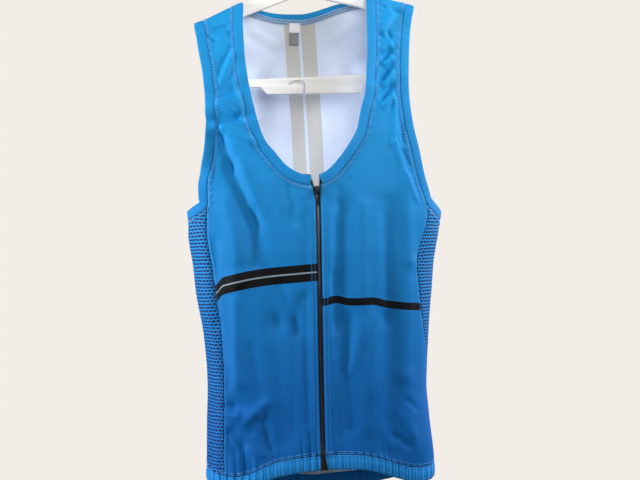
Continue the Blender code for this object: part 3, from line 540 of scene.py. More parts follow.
def roundLength(theta, q):
    levels, turns, table = arcs
    level = np.clip(levelOf(q), levels[0], levels[-1] - 0.01)
    i = np.clip(((level - levels[0]) / (levels[1] - levels[0])).astype(int), 0, len(levels) - 2)
    t = (level - levels[i]) / (levels[1] - levels[0])
    j = np.clip(((theta - turns[0]) / (turns[1] - turns[0])).astype(int), 0, len(turns) - 2)
    k = (theta - turns[j]) / (turns[1] - turns[0])
    upper = table[i, j] * (1 - k) + table[i, j + 1] * k
    lower = table[i + 1, j] * (1 - k) + table[i + 1, j + 1] * k
    return upper * (1 - t) + lower * t


def makeMesh(name, points, faces, materials, indices=None, uvs=None, flip=True, origin=None):
    mesh = bpy.data.meshes.new(name)
    start = np.zeros(3) if origin is None else np.asarray(origin, float)
    mesh.from_pydata([tuple((p - start) * 0.001) for p in points], [], faces)
    for material in materials:
        mesh.materials.append(material)
    if indices is not None:
        mesh.polygons.foreach_set("material_index", indices)
    for layerName, values in (uvs or {}).items():
        layer = mesh.uv_layers.new(name=layerName)
        corners = np.zeros(len(mesh.loops), int)
        mesh.loops.foreach_get("vertex_index", corners)
        layer.data.foreach_set("uv", np.asarray(values, float)[corners].ravel())
    if flip:
        shape = bmesh.new()
        shape.from_mesh(mesh)
        bmesh.ops.recalc_face_normals(shape, faces=shape.faces)
        shape.to_mesh(mesh)
        shape.free()
    mesh.polygons.foreach_set("use_smooth", [True] * len(mesh.polygons))
    mesh.update()
    made = bpy.data.objects.new(name, mesh)
    made.location = tuple(start * 0.001)
    bpy.context.scene.collection.objects.link(made)
    return made


def gridFaces(rows, columns, behind):
    at = np.arange(rows * columns).reshape(rows, columns)
    quads = np.stack([at[:-1, :-1], at[:-1, 1:], at[1:, 1:], at[1:, :-1]], -1).reshape(-1, 4)
    rim = np.concatenate([at[0, :], at[1:, -1], at[-1, -2::-1], at[-2:0:-1, 0]])
    nxt = np.roll(rim, -1)
    edges = np.stack([nxt, rim, rim + behind, nxt + behind], -1)
    faces = quads.tolist() + (quads[:, ::-1] + behind).tolist() + edges.tolist()
    indices = [0] * len(quads) + [1] * len(quads) + [2] * len(edges)
    return faces, indices


def clothPanel(name, theta, q, materials, out, thick, printUv=None):
    # thin closed shell: face, inside and cut edge
    rows, columns = theta.shape
    faces, indices = gridFaces(rows, columns, rows * columns)
    outer, inner = skin(theta, q, out), skin(theta, q, out - thick)
    points = np.concatenate([outer.reshape(-1, 3), inner.reshape(-1, 3)])
    cloth = np.stack([roundLength(theta, q).ravel(), q.ravel()], -1) * 0.001
    flat = base(theta, q)
    layers = {"cloth": np.concatenate([cloth, cloth])}
    if printUv is not None:
        marks = printUv(flat[..., 0].ravel(), -flat[..., 2].ravel()) * 0.001
        layers["print"] = np.concatenate([marks, marks])
    return makeMesh(name, points, faces, materials, indices, layers)


def loopFaces(count, size, closed=False, start=0):
    # a skin over closed loops, with ends unless it goes round
    at = np.arange(count * size).reshape(count, size) + start
    if closed:
        at = np.concatenate([at, at[:1]])
    ahead = np.roll(at, -1, axis=1)
    faces = np.stack([at[:-1], ahead[:-1], ahead[1:], at[1:]], -1).reshape(-1, 4).tolist()
    return faces if closed else faces + [at[0].tolist(), at[-1][::-1].tolist()]


def sweep(name, sections, materials, closed=False, uvs=None):
    faces = loopFaces(*sections.shape[:2], closed)
    return makeMesh(name, sections.reshape(-1, 3), faces, materials, uvs=uvs)


def tubePoints(path, radius, sides):
    # rings of points round a path
    tangent = unit(np.gradient(path, axis=0))
    first = unit(np.cross(tangent, [0.0, 0.0, 1.0]))
    second = np.cross(tangent, first)
    turn = np.linspace(0, 2 * math.pi, sides, endpoint=False)
    rings = [path + first * math.cos(a) * radius + second * math.sin(a) * radius for a in turn]
    return np.stack(rings, axis=1)


def threadMesh(name, paths, radius, material, sides=4):
    # all the paths of a seam in one mesh
    points, faces, start = [], [], 0
    for path in paths:
        points.append(tubePoints(path, radius, sides).reshape(-1, 3))
        faces += loopFaces(len(path), sides, start=start)
        start += len(path) * sides
    return makeMesh(name, np.concatenate(points), faces, [material], flip=False)


def stepOver(theta, q, direction, distance):
    # the place a given distance away over the cloth, along a direction in space
    roundStep = (base(theta + 0.05, q) - base(theta - 0.05, q)) / 0.1
    downStep = (base(theta, q + 0.1) - base(theta, q - 0.1)) / 0.2
    rr, dd = np.sum(roundStep ** 2, -1), np.sum(downStep ** 2, -1)
    rd = np.sum(roundStep * downStep, -1)
    rv, dv = np.sum(roundStep * direction, -1), np.sum(downStep * direction, -1)
    solve = np.maximum(rr * dd - rd * rd, 1e-9)
    return (theta + distance * (rv * dd - dv * rd) / solve,
            q + distance * (dv * rr - rv * rd) / solve)


def edgeFrame(theta, q, closed):
    points, normals = skin(theta, q), normalOf(folded, theta, q)
    if closed:
        tangent = np.roll(points, -1, axis=0) - np.roll(points, 1, axis=0)
    else:
        tangent = np.gradient(points, axis=0)
    return points, normals, unit(np.cross(tangent, normals))


def alongEdge(theta, q, step, start=0.0, stop=1.0):
    # even places along an edge, a step apart
    theta = np.unwrap(theta, period=360)
    along = lengths(base(theta, q))
    low, high = start * along[-1], stop * along[-1]
    at = np.linspace(low, high, max(3, int(round((high - low) / step)) + 1))
    return np.interp(at, along, theta), np.interp(at, along, q)


def toAndFro(count):
    # 1 to 0 and back, four places to each stitch
    return np.abs((np.arange(count) % 4) - 2) / 2


def zigzagPath(theta, q, near, far, pitch, ends=(0.0, 1.0)):
    # looper thread crossing back and forth over the cloth inside an edge
    theta, q = alongEdge(theta, q, pitch / 4, *ends)
    outward = edgeFrame(theta, q, False)[2]
    away = near + (far - near) * toAndFro(len(theta))
    return skin(*stepOver(theta, q, -outward, away), stitching["over"])


def stitchRow(theta, q, stitch, out=0.3):
    # separate stitches along a line, each dipping into the cloth at both ends
    along = lengths(base(theta, q))
    at = np.linspace(0, along[-1], 4 * max(1, int(along[-1] / stitch)) + 1)
    theta, q = np.interp(at, along, theta), np.interp(at, along, q)
    high, low = skin(theta, q, out), skin(theta, q, out - stitching["dip"])
    paths = []
    for i in range(0, len(at) - 4, 4):
        piece = high[i:i + 4].copy()
        piece[0], piece[-1] = low[i], low[i + 3]
        paths.append(piece)
    return paths


# materials

def emptyTree(name):
    made = bpy.data.materials.new(name)
    made.use_nodes = True
    made.node_tree.nodes.clear()
    return made, made.node_tree


def add(tree, kind, inputs=None, **settings):
    node = tree.nodes.new(kind)
    for key, value in settings.items():
        setattr(node, key, value)
    for key, value in (inputs or {}).items():
        if isinstance(value, bpy.types.NodeSocket):
            tree.links.new(value, node.inputs[key])
        else:
            node.inputs[key].default_value = value
    return node


def finish(tree, shader):
    add(tree, "ShaderNodeOutputMaterial", {"Surface": shader})


def bands(tree, value, stops, reach):
    # hard stripes: value in metres, stops as (mm from the middle, colour)
    part = add(tree, "ShaderNodeMapRange", {
        "Value": value, "From Min": -reach / 1000, "From Max": reach / 1000})
    ramp = add(tree, "ShaderNodeValToRGB", {"Fac": part.outputs[0]})
    ramp.color_ramp.interpolation = "CONSTANT"
    elements = ramp.color_ramp.elements
    elements.remove(elements[1])
    elements[0].position, elements[0].color = 0.0, rgba(stops[0][1])
    for at, code in stops[1:]:
        elements.new((at + reach) / (2 * reach)).color = rgba(code)
    return ramp.outputs[0]


knitLook = {
    # each pair is the colour at the shoulders and at the hem; the fall to the darker one is
    # painted shade
    "blue": ("1C9CE0", "0260AC"),
    "black": "020307",
    "greyLine": "8C9AA6",
    "inside": ("E2ECFF", "DEE8FF"),
    "showThrough": "CFCDC8",
    "wale": 1.6,            # the real knit is near 0.5 mm, drawn coarser so that it shows
    "course": 1.3,
    "roughness": 0.62,
    "sheen": 0.03,
    "uneven": 0.05,         # share by which the dye wanders, in patches of about 30 mm
    "patches": 35.0,
}


def knitBump(tree, depth=0.25, wale=None, course=None):
    # rows of small stitches, brick fashion
    uv = add(tree, "ShaderNodeUVMap", uv_map="cloth").outputs[0]
    wale = wale or knitLook["wale"]
    course = course or knitLook["course"]
    scaled = add(tree, "ShaderNodeVectorMath", {
        0: uv, 1: (2 * math.pi * 1000 / wale, 2 * math.pi * 1000 / course, 0)},
        operation="MULTIPLY").outputs[0]
    parts = add(tree, "ShaderNodeSeparateXYZ", {0: scaled})
    half = add(tree, "ShaderNodeMath", {0: parts.outputs[1], 1: 0.5}, operation="MULTIPLY")
    shifted = add(tree, "ShaderNodeMath", {
        0: parts.outputs[0], 1: half.outputs[0]}, operation="ADD")
    waleWave = add(tree, "ShaderNodeMath", {0: shifted.outputs[0]}, operation="SINE")
    courseWave = add(tree, "ShaderNodeMath", {0: parts.outputs[1]}, operation="SINE")
    height = add(tree, "ShaderNodeMath", {
        0: waleWave.outputs[0], 1: courseWave.outputs[0]}, operation="MULTIPLY")
    fuzz = add(tree, "ShaderNodeTexNoise", {
        "Vector": uv, "Scale": 900.0, "Detail": 2.0, "Roughness": 0.6})
    mixed = add(tree, "ShaderNodeMath", {
        0: height.outputs[0], 1: fuzz.outputs[0]}, operation="ADD")
    return add(tree, "ShaderNodeBump", {
        "Height": mixed.outputs[0], "Strength": depth, "Distance": 0.0004})


def polyester(name, colourOf, roughness, sheen, bumpDepth=0.25, wale=None, course=None):
    # dyed or printed polyester: satiny, with a soft bloom at grazing angles
    made, tree = emptyTree(name)
    bump = knitBump(tree, bumpDepth, wale, course)
    shader = add(tree, "ShaderNodeBsdfPrincipled", {
        "Base Color": colourOf(tree), "Roughness": roughness, "Sheen Weight": sheen,
        "Sheen Roughness": 0.4, "Specular IOR Level": 0.16, "Normal": bump.outputs[0]})
    finish(tree, shader.outputs[0])
    return made


def dyedWithPaintedShade(tree, shades):
    # painted shade: paler at the shoulders and darker towards the hem, standing in for the light
    # that falls from above, with the slight unevenness of dye
    where = add(tree, "ShaderNodeTexCoord").outputs["Object"]
    height = add(tree, "ShaderNodeSeparateXYZ", {0: where}).outputs[2]
    # painted shade: the first colour at 0.14 m under the hook, blending into the second, darker
    # one at 0.58 m
    fall = add(tree, "ShaderNodeMapRange", {
        "Value": height, "From Min": -0.14, "From Max": -0.58})
    noise = add(tree, "ShaderNodeTexNoise", {
        "Vector": where, "Scale": knitLook["patches"], "Detail": 3.0})
    part = add(tree, "ShaderNodeMapRange", {
        "Value": noise.outputs[0], "From Min": 0.3, "From Max": 0.7,
        "To Min": 1 - knitLook["uneven"], "To Max": 1 + knitLook["uneven"]})
    shade = add(tree, "ShaderNodeMix", {
        0: fall.outputs[0], 6: rgba(shades[0]), 7: rgba(shades[1])}, data_type="RGBA")
    return add(tree, "ShaderNodeVectorMath", {
        0: shade.outputs[2], "Scale": part.outputs[0]}, operation="SCALE").outputs[0]


def printed(stops, reach, axis, ground):
    # a stripe print over the dyed ground and its painted shade, which shows where the mask is
    # black
    def colour(tree):
        uv = add(tree, "ShaderNodeUVMap", uv_map="print").outputs[0]
        value = add(tree, "ShaderNodeSeparateXYZ", {0: uv}).outputs[axis]
        mask = bands(tree, value, [(-reach, "000000")] + [
            (at, "FFFFFF" if code else "000000") for at, code in stops], reach)
        ink = bands(tree, value, [(-reach, "000000")] + [
            (at, code or "000000") for at, code in stops], reach)
        return add(tree, "ShaderNodeMix", {
            0: mask, 6: dyedWithPaintedShade(tree, ground), 7: ink},
            data_type="RGBA").outputs[2]
    return colour


# unprinted cloth, darker towards the hem in painted shade
def plainColour(shades):
    return lambda tree: dyedWithPaintedShade(tree, shades)


# stripe centres on the fronts and the back, and where each band starts
prints = {
    "right": [
        (-134, 434.2), (-124, 433.4), (-119.5, 429), (-116.5, 425), (-108.6, 422.4), (-82, 416.9),
        (-56, 414), (-24, 411.6), (-4, 410.3)],
    "left": [(4, 447), (21, 444.4), (36, 447.6), (62, 447.4), (88, 453), (134, 457.8)],
    "back": [(80, -10), (150, -5), (240, 1.4), (420, 6), (690, 8)],  # drop, x
}

doubleStripe = [
    (-10.2, knitLook["black"]), (-0.9, knitLook["greyLine"]), (0.9, knitLook["black"]),
    (10.6, None)]
singleStripe = [(-4.8, knitLook["black"]), (4.4, None)]
backStripe, backInside = (
    [(-19.6, knitLook[ink]), (-1.9, None), (1.9, knitLook[ink]), (20.6, None)]
    for ink in ("black", "showThrough"))


def frontPrint(side):
    return lambda x, drop: np.stack([x, drop - reading(prints[side], x)], -1)


def backPrint(x, drop):
    return np.stack([x - reading(prints["back"], drop), drop], -1)


knitRight, knitLeft, knitBack = (
    polyester("printed knit " + name, printed(stops, reach, axis, knitLook["blue"]),
              knitLook["roughness"], knitLook["sheen"])
    for name, stops, reach, axis in (
        ("right", doubleStripe, 16, 1), ("left", singleStripe, 12, 1),
        ("back", backStripe, 26, 0)))
# the undyed wrong side, with the print showing through in grey
knitInside = polyester("knit wrong side", plainColour(knitLook["inside"]), 0.8, 0.2)
backInsideKnit = polyester("knit wrong side of the back",
                           printed(backInside, 26, 0, knitLook["inside"]), 0.8, 0.2)
# cut edges: blue pile with white core, seen as a paler line
knitEdge = polyester("knit cut edge", plainColour(("7FB2DC", "5F9ACB")), 0.85, 0.1)
# folded strip, a little tighter and glossier than the panels
bindingKnit = polyester("binding knit", plainColour(("1C98DC", "0262AE")),
                        0.58, 0.05, 0.35, 1.2, 1.2)
# stretched rib, with a soft bloom on its ridges
elasticKnit = polyester("elastic knit", plainColour(("1C96DC", "1A84D0")),
                        0.6, 0.12, 0.4, 1.2, 1.2)


net = {"cell": (0.0053, 0.0041), "oval": (0.8, 1.1), "rim": (0.29, 0.42), "pull": (1.1, 0.8, 0)}


def meshCloth(name, ground, hole):
    # open knit: brick-set oval holes painted dark as the shade seen through them, with raised
    # threads between them
    made, tree = emptyTree(name)
    uv = add(tree, "ShaderNodeUVMap", uv_map="cloth").outputs[0]
    cells = (1 / net["cell"][0], 1 / net["cell"][1], 0)
    even = add(tree, "ShaderNodeVectorMath", {0: uv, 1: cells}, operation="MULTIPLY").outputs[0]
    # the net is pulled a little out of true, over about 25 mm
    pull = add(tree, "ShaderNodeTexNoise", {"Vector": uv, "Scale": 40.0, "Detail": 1.0})
    scaled = add(tree, "ShaderNodeVectorMath", {
        0: pull.outputs["Color"], 1: net["pull"], 2: even},
        operation="MULTIPLY_ADD").outputs[0]
    parts = add(tree, "ShaderNodeSeparateXYZ", {0: scaled})
    row = add(tree, "ShaderNodeMath", {0: parts.outputs[1]}, operation="FLOOR")
    shift = add(tree, "ShaderNodeMath", {0: row.outputs[0], 1: 0.5}, operation="MULTIPLY")
    across = add(tree, "ShaderNodeMath", {0: parts.outputs[0], 1: shift.outputs[0]},
                 operation="ADD")
    middles = []
    for value, stretch in zip((across.outputs[0], parts.outputs[1]), net["oval"]):
        part = add(tree, "ShaderNodeMath", {0: value}, operation="FRACT")
        centred = add(tree, "ShaderNodeMath", {0: part.outputs[0], 1: 0.5}, operation="SUBTRACT")
        middles.append(add(tree, "ShaderNodeMath", {0: centred.outputs[0], 1: stretch},
                           operation="MULTIPLY").outputs[0])
    spot = add(tree, "ShaderNodeCombineXYZ", {0: middles[0], 1: middles[1]})
    away = add(tree, "ShaderNodeVectorMath", {0: spot.outputs[0]}, operation="LENGTH")
    solidPart = add(tree, "ShaderNodeMapRange", {
        "Value": away.outputs["Value"], "From Min": net["rim"][0], "From Max": net["rim"][1]},
        interpolation_type="SMOOTHSTEP")
    # painted shade in the holes, the dyed ground on the threads
    colour = add(tree, "ShaderNodeMix", {
        0: solidPart.outputs[0], 6: rgba(hole), 7: dyedWithPaintedShade(tree, ground)}, data_type="RGBA")
    bump = add(tree, "ShaderNodeBump", {
        "Height": solidPart.outputs[0], "Strength": 0.8, "Distance": 0.0008})
    shader = add(tree, "ShaderNodeBsdfPrincipled", {
        "Base Color": colour.outputs[2], "Roughness": 0.65, "Specular IOR Level": 0.25,
        "Normal": bump.outputs[0]})
    finish(tree, shader.outputs[0])
    return made


# open mesh knit for the sides: holes painted dark for the shade seen through them, between raised
# threads
meshOuter = meshCloth("mesh knit", ("24A4E8", "0672C6"), "042A60")
meshInner = meshCloth("mesh knit wrong side", ("6FA8DC", "5C98D0"), "1E4674")


def plainMaterial(name, code, roughness, metallic=0.0, specular=0.5, grain=None):
    made, tree = emptyTree(name)
    inputs = {"Base Color": rgba(code), "Roughness": roughness, "Metallic": metallic,
              "Specular IOR Level": specular}
    if grain:
        where = add(tree, "ShaderNodeTexCoord").outputs["Object"]
        noise = add(tree, "ShaderNodeTexNoise", {"Vector": where, "Scale": grain, "Detail": 3.0})
        inputs["Normal"] = add(tree, "ShaderNodeBump", {
            "Height": noise.outputs[0], "Strength": 0.15, "Distance": 0.0003}).outputs[0]
    finish(tree, add(tree, "ShaderNodeBsdfPrincipled", inputs).outputs[0])
    return made


# spun thread, paler or the same as the cloth, so that seams read as fine lines
blueThread = plainMaterial("polyester thread", "74BEF2", 0.5)
tonalThread = plainMaterial("tonal polyester thread", "2F96DC", 0.5)
whiteThread = plainMaterial("white polyester thread", "E8ECF2", 0.55)
# woven tape, matt black, and the coil's smoother nylon
tapeWeave = plainMaterial("woven zip tape", "090A0D", 0.75, grain=2500)
coilNylon = plainMaterial("nylon coil", "050608", 0.5, specular=0.25)
# painted zinc casting: dark with a soft glint
sliderZinc = plainMaterial("painted zinc", "2A2D32", 0.32, 0.85)
# ribbons with a faint weave
whiteSatin = plainMaterial("white satin ribbon", "FCFDFF", 0.5, grain=1800)
greySatin = plainMaterial("grey satin ribbon", "8A8C8C", 0.55, grain=1800)
# moulded polystyrene: smooth, faintly warm white
polystyrene = plainMaterial("white polystyrene", "FAF6F0", 0.32, specular=0.45, grain=90)


# panels

fronts = {side: frontPlaces(side) for side in signs}
sides = {side: sidePlaces(side) for side in signs}
rear = backPlaces()

puckers = {"pitch": 9.5, "height": 0.55, "reach": 9.0, "clear": 2.5, "fade": 6}


def edgePuckers(theta, q, columns):
    # small ripples that the stitching of a binding draws in the panel beside it
    points = base(theta, q)
    out = np.zeros(theta.shape)
    for at in columns:
        along = lengths(points[:, at])[:, None]
        away = np.linalg.norm(points - points[:, at][:, None, :], axis=-1)
        ripple = np.sin(along * 2 * math.pi / puckers["pitch"] + 1.5 * np.sin(along / 19))
        uneven = 0.6 + 0.4 * np.sin(along / 27 + at)
        fall = np.exp(-(away / puckers["reach"]) ** 2) * np.clip(away / puckers["clear"], 0, 1)
        last = np.clip((strapRows - np.arange(len(theta))) / puckers["fade"], 0, 1)[:, None]
        out = out + puckers["height"] * ripple * uneven * fall * last
    return out


def cutPanel(name, node, grid, materials, printUv=None):
    # the mesh sides have no bound edge beside them
    edgeColumns = () if node.startswith("side") else (0, -1)
    out = edgePuckers(*grid, edgeColumns)
    made = clothPanel(name, *grid, materials, out, body["knit"], printUv)
    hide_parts(node)
    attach(made, "garment")


for side, knit in (("right", knitRight), ("left", knitLeft)):
    cutPanel("front_" + side + "_knit", "front_" + side, fronts[side],
             [knit, knitInside, knitEdge], frontPrint(side))
    cutPanel("side_" + side + "_mesh", "side_" + side, sides[side],
             [meshOuter, meshInner, meshInner])
cutPanel("back_knit", "back", rear, [knitBack, backInsideKnit, knitEdge], backPrint)
print("panels done")


# bindings

bindings = {
    "width": 11.0,
    "backWidth": 13.5,
    "loop": [  # share of the width, out from the cloth's face
        (0.0, -1.1), (0.0, 0.2), (0.05, 0.65), (0.14, 0.85), (0.5, 0.95), (0.82, 0.85),
        (0.95, 0.6), (1.0, 0.1), (0.98, -0.5), (0.9, -1.05), (0.5, -1.15)],
    "ease": 2,              # places that the edge's line is eased over
    "bridge": 9,            # and the way that the binding faces
    "pucker": 0.22,         # small ripples where the stitching holds the binding
    "pitch": 7.3,
}


def neckEdge():
    rows, strap = strapRows, seams["strapColumns"]
    around = slice(strap + 1, -strap - 1)
    right, left = fronts["right"], fronts["left"]
    theta = np.concatenate([right[0][:rows, 0][::-1], rear[0][0, around], left[0][:rows, 0]])
    q = np.concatenate([right[1][:rows, 0][::-1], rear[1][0, around], left[1][:rows, 0]])
    x = base(theta, q)[:, 0]
    wider = np.where(theta > 180, np.clip(1 - (x / 62) ** 2, 0, 1), 0)
    return theta, q, bindings["width"] + (bindings["backWidth"] - bindings["width"]) * wider


def armEdge(side):
    backRows = len([r for r in seams["rollRows"] if r > body["seamBehind"]]) + seams["backRows"]
    backColumn = 0 if side == "right" else -1
    theta, q = (np.concatenate([
        fronts[side][k][:strapRows - 1, -1], sides[side][k][0],
        rear[k][:backRows - 1, backColumn][::-1][:-1]]) for k in (0, 1))
    return (theta[::-1], q[::-1]) if side == "left" else (theta, q)


def eased(values, closed, span):
    # running mean along an edge, a binding bridges the small creases beside it
    kernel = np.hanning(2 * span + 3)[1:-1]
    padded = np.pad(values, ((span, span), (0, 0)), mode="wrap" if closed else "edge")
    parts = [np.convolve(padded[:, k], kernel / kernel.sum(), mode="valid") for k in range(3)]
    return np.stack(parts, axis=-1)


def binding(name, theta, q, width, closed, ends=None):
    points, normals, outward = edgeFrame(theta, q, closed)
    points = eased(points, closed, bindings["ease"])
    normals, outward = (unit(eased(v, closed, bindings["bridge"])) for v in (normals, outward))
    if ends is not None:
        outward[0], outward[-1] = unit(ends[0] - points[0]), unit(ends[1] - points[-1])
    along = lengths(points)
    width = np.broadcast_to(np.asarray(width, float), theta.shape)
    ripple = bindings["pucker"] * np.sin(
        along * 2 * math.pi / bindings["pitch"] + 1.7 * np.sin(along / 31))
    loops, uvs = [], []
    for share, out in bindings["loop"]:
        lift = out + (ripple * (1 - abs(share - 0.45)) if out > 0.3 else 0)
        loops.append(points + outward * (0.05 + share * (width + 0.25))[:, None]
                     + normals * np.broadcast_to(lift, theta.shape)[:, None])
        uvs.append(np.stack([share * width, along], -1) * 0.001)
    sections = np.stack(loops, axis=1)
    return sweep(name, sections, [bindingKnit], closed,
                 uvs={"cloth": np.stack(uvs, axis=1).reshape(-1, 2)})


def zipCorners():
    top = zipper["top"]
    return [skin(*place(sign * (zipper["edge"] + float(flare(side, top))), top))
            for side, sign in signs.items()]


neckTheta, neckQ, neckWidth = neckEdge()
made = binding("neck_binding_knit", neckTheta, neckQ, neckWidth, False, zipCorners())
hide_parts("neck_binding")
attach(made, "garment")
for side in signs:
    theta, q = armEdge(side)
    made = binding("armhole_binding_" + side + "_knit", theta, q, bindings["width"], True)
    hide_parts("armhole_binding_" + side)
    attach(made, "garment")
print("bindings done")


# stitching beside the bindings

stitching = {
    "thread": 0.34,
    "near": 0.9,            # cover stitch, from the seam into the panel
    "far": 5.4,
    "pitch": 3.7,
    "row": 2.6,             # length of a plain stitch
    "over": 0.45,           # looper thread's middle over the cloth
    "twin": (1.6, 4.0),     # rows over the hem band
    "tape": (5.6, 9.4),     # rows that hold the zip, from the zip's middle
    "tack": (4.6, 7.4),     # short rows over the binding's ends
    "dip": 0.45,            # how far a stitch's ends sink into the cloth
    "degree": 1.5,          # mm of cloth in a degree where the side seams are sewn
}

chain = {  # white looper thread on the inner face of the back neck's binding
    "pitch": 3.0, "thread": 0.42, "under": 1.45, "low": 0.5, "high": 5.5, "rims": (0.2, 6.2),
}


def seamThreads(name, paths, thread, radius=None):
    made = threadMesh(name, paths, radius or stitching["thread"], thread)
    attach(made, "garment")


def coverStitches():
    size = (stitching["near"], stitching["far"], stitching["pitch"])
    # the line is cut where it passes from the fronts to the back, behind the shoulders
    cut = np.flatnonzero(np.abs(np.diff(neckTheta)) > 25) + 1
    paths = [zigzagPath(theta, q, *size, ends=(0.004, 0.996)) for theta, q in
             zip(np.split(neckTheta, cut), np.split(neckQ, cut))]
    seamThreads("neck_cover_stitch", paths, blueThread)
    for side in signs:
        theta, q = armEdge(side)
        seamThreads("armhole_cover_stitch_" + side,
                    [zigzagPath(theta, q, *size)], blueThread)
    # inside the back neck the looper thread shows white
    back = slice(cut[0], cut[1])
    points, normals, outward = edgeFrame(
        *alongEdge(neckTheta[back], neckQ[back], chain["pitch"] / 4), False)
    inner = points - normals * chain["under"]
    low, high = chain["low"], chain["high"]
    inside = [inner + outward * (low + (high - low) * toAndFro(len(points)))[:, None],
              inner + outward * chain["rims"][1], inner + outward * chain["rims"][0]]
    seamThreads("back_neck_cover_stitch", inside, whiteThread, chain["thread"])


coverStitches()
print("cover stitching done")


# hem band

def hemPieces():
    bottoms = [(p[0][-1], p[1][-1]) for p in (*fronts.values(), *sides.values(), rear)]
    seamTheta = np.concatenate([b[0] for b in bottoms]) % 360
    seamQ = np.concatenate([b[1] for b in bottoms])
    order = np.argsort(seamTheta)
    seamTheta, seamQ = seamTheta[order], seamQ[order]
    start = float(place(zipper["edge"], hemBand["ends"])[0])
    stop = float(place(-zipper["edge"], hemBand["ends"])[0])
    count = hemBand["ribs"] * hemBand["steps"] + 1
    turn = np.linspace(start, stop - 360, 4001)
    along = lengths(base(turn, hemQ(turn)))
    at = np.linspace(0, along[-1], count)
    theta = np.interp(at, along, turn) % 360
    phase = np.arange(count) / hemBand["steps"] * 2 * math.pi
    wave = hemBand["rib"] * (np.abs(np.cos(phase / 2)) ** 0.8 * 1.15 - 0.25)
    wave[0] = wave[-1] = 0.3
    height, under = hemBand["height"], hemBand["under"]
    rows = [(height, under, 0.0), (height, 0.2, 0.4), (height * 0.93, 0.45, 0.75),
            (height * 0.86, 0.1, 0.5), (height * 0.75, 0.75, 1.0), (height * 0.45, 0.9, 1.0),
            (height * 0.18, 0.7, 1.0), (1.0, 0.3, 0.9), (0.0, -0.3, 0.3), (0.6, under, 0.0),
            (height * 0.5, under, 0.0)]
    top = np.interp(theta, seamTheta, seamQ, period=360) + body["gap"]
    loops = [skin(theta, hemQ(theta) - (hemQ(theta) - top) * above / height, out + part * wave)
             for above, out, part in rows]
    uvs = [np.stack([at, np.full(count, above)], -1) * 0.001 for above, _, _ in rows]
    return np.stack(loops, axis=1), np.stack(uvs, axis=1), theta, top


hemSections, hemUvs, hemTheta, hemTop = hemPieces()
made = sweep("hem_band_elastic", hemSections, [elasticKnit],
             uvs={"cloth": hemUvs.reshape(-1, 2)})
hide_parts("hem_gripper")
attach(made, "garment")
print("hem done")


def hemStitches():
    paths = []
    for above in stitching["twin"]:
        paths += stitchRow(np.unwrap(hemTheta[::4], period=360),
                           hemTop[::4] - body["gap"] - above, stitching["row"])
    seamThreads("hem_twin_stitch", paths, blueThread, 0.22)


def sideStitches():
    # flat seams: a row on each side of where the mesh joins
    paths = []
    for side, sign in signs.items():
        for grid, rows, at, away in (
                (fronts[side], slice(strapRows, None), -1, 2.0),
                (sides[side], slice(2, None), 0, -2.2),
                (rear, slice(-seams["bodyRows"], None), 0 if side == "right" else -1, -2.0)):
            theta = grid[0][rows, at] + sign * away / stitching["degree"]
            paths += stitchRow(theta, grid[1][rows, at], stitching["row"])
    seamThreads("side_seam_stitch", paths, tonalThread, 0.2)


hemStitches()
sideStitches()
print("seam stitching done")


# zip

def zipTape(side):
    top, bottom = zipper["top"] + 0.5, hemMiddle() - 1.0
    drop = np.concatenate([np.linspace(top, zipper["open"], 16),
                           np.linspace(zipper["open"], bottom, 110)[1:]])
    tapeFace = -body["wall"] - body["gap"]
    inner, outer, under = zipper["inner"], zipper["tape"], tapeFace - zipper["weave"]
    loop = [(inner, tapeFace), (outer, tapeFace), (outer, under), (inner, under)]
    loops = [skin(besideZip(side, across, drop), levelToQ(drop), out) for across, out in loop]
    return sweep("zip_tape_" + side, np.stack(loops, axis=1), [tapeWeave])


def zipCoil(side):
    # one coil of monofilament, its turns meshing with the other half's
    coil, pitch = zipper["coil"], zipper["pitch"]
    top, bottom = zipper["top"] + 1.0, hemMiddle() - 1.6
    turns = (bottom - top) / pitch
    t = np.linspace(0, turns, int(turns * coil["steps"]) + 1)
    angle = 2 * math.pi * t + (0 if side == "left" else math.pi)
    drop = top + t * pitch
    across = coil["across"] - coil["swing"] * np.cos(angle)
    out = coil["out"] + coil["lift"] * np.sin(angle)
    path = skin(besideZip(side, across, drop), levelToQ(drop), out)
    return sweep("zip_coil_" + side, tubePoints(path, coil["wire"], 5), [coilNylon])


for side in signs:
    tape, coil = zipTape(side), zipCoil(side)
    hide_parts("zip_half_" + side)
    for piece in (tape, coil):
        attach(piece, "garment")


zipFoot = {
    "height": 20.0, "top": 2.7, "right": 3.4, "left": 5.4, "under": -0.9, "out": 2.1,
}


def zipFootBox():
    # moulded box and pin that join the halves at the hem, widening downwards
    bottom = hemMiddle() - 0.6
    drop = np.linspace(bottom - zipFoot["height"], bottom, 12)
    share = np.linspace(0, 1, len(drop)) ** 1.3
    loops = []
    for side, out in (("right", "under"), ("left", "under"), ("left", "out"), ("right", "out")):
        wide = zipFoot["top"] + (zipFoot[side] - zipFoot["top"]) * share
        loops.append(skin(place(signs[side] * wide, drop)[0], levelToQ(drop), zipFoot[out]))
    return sweep("zip_foot_box", np.stack(loops, axis=1), [coilNylon])


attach(zipFootBox(), "garment")


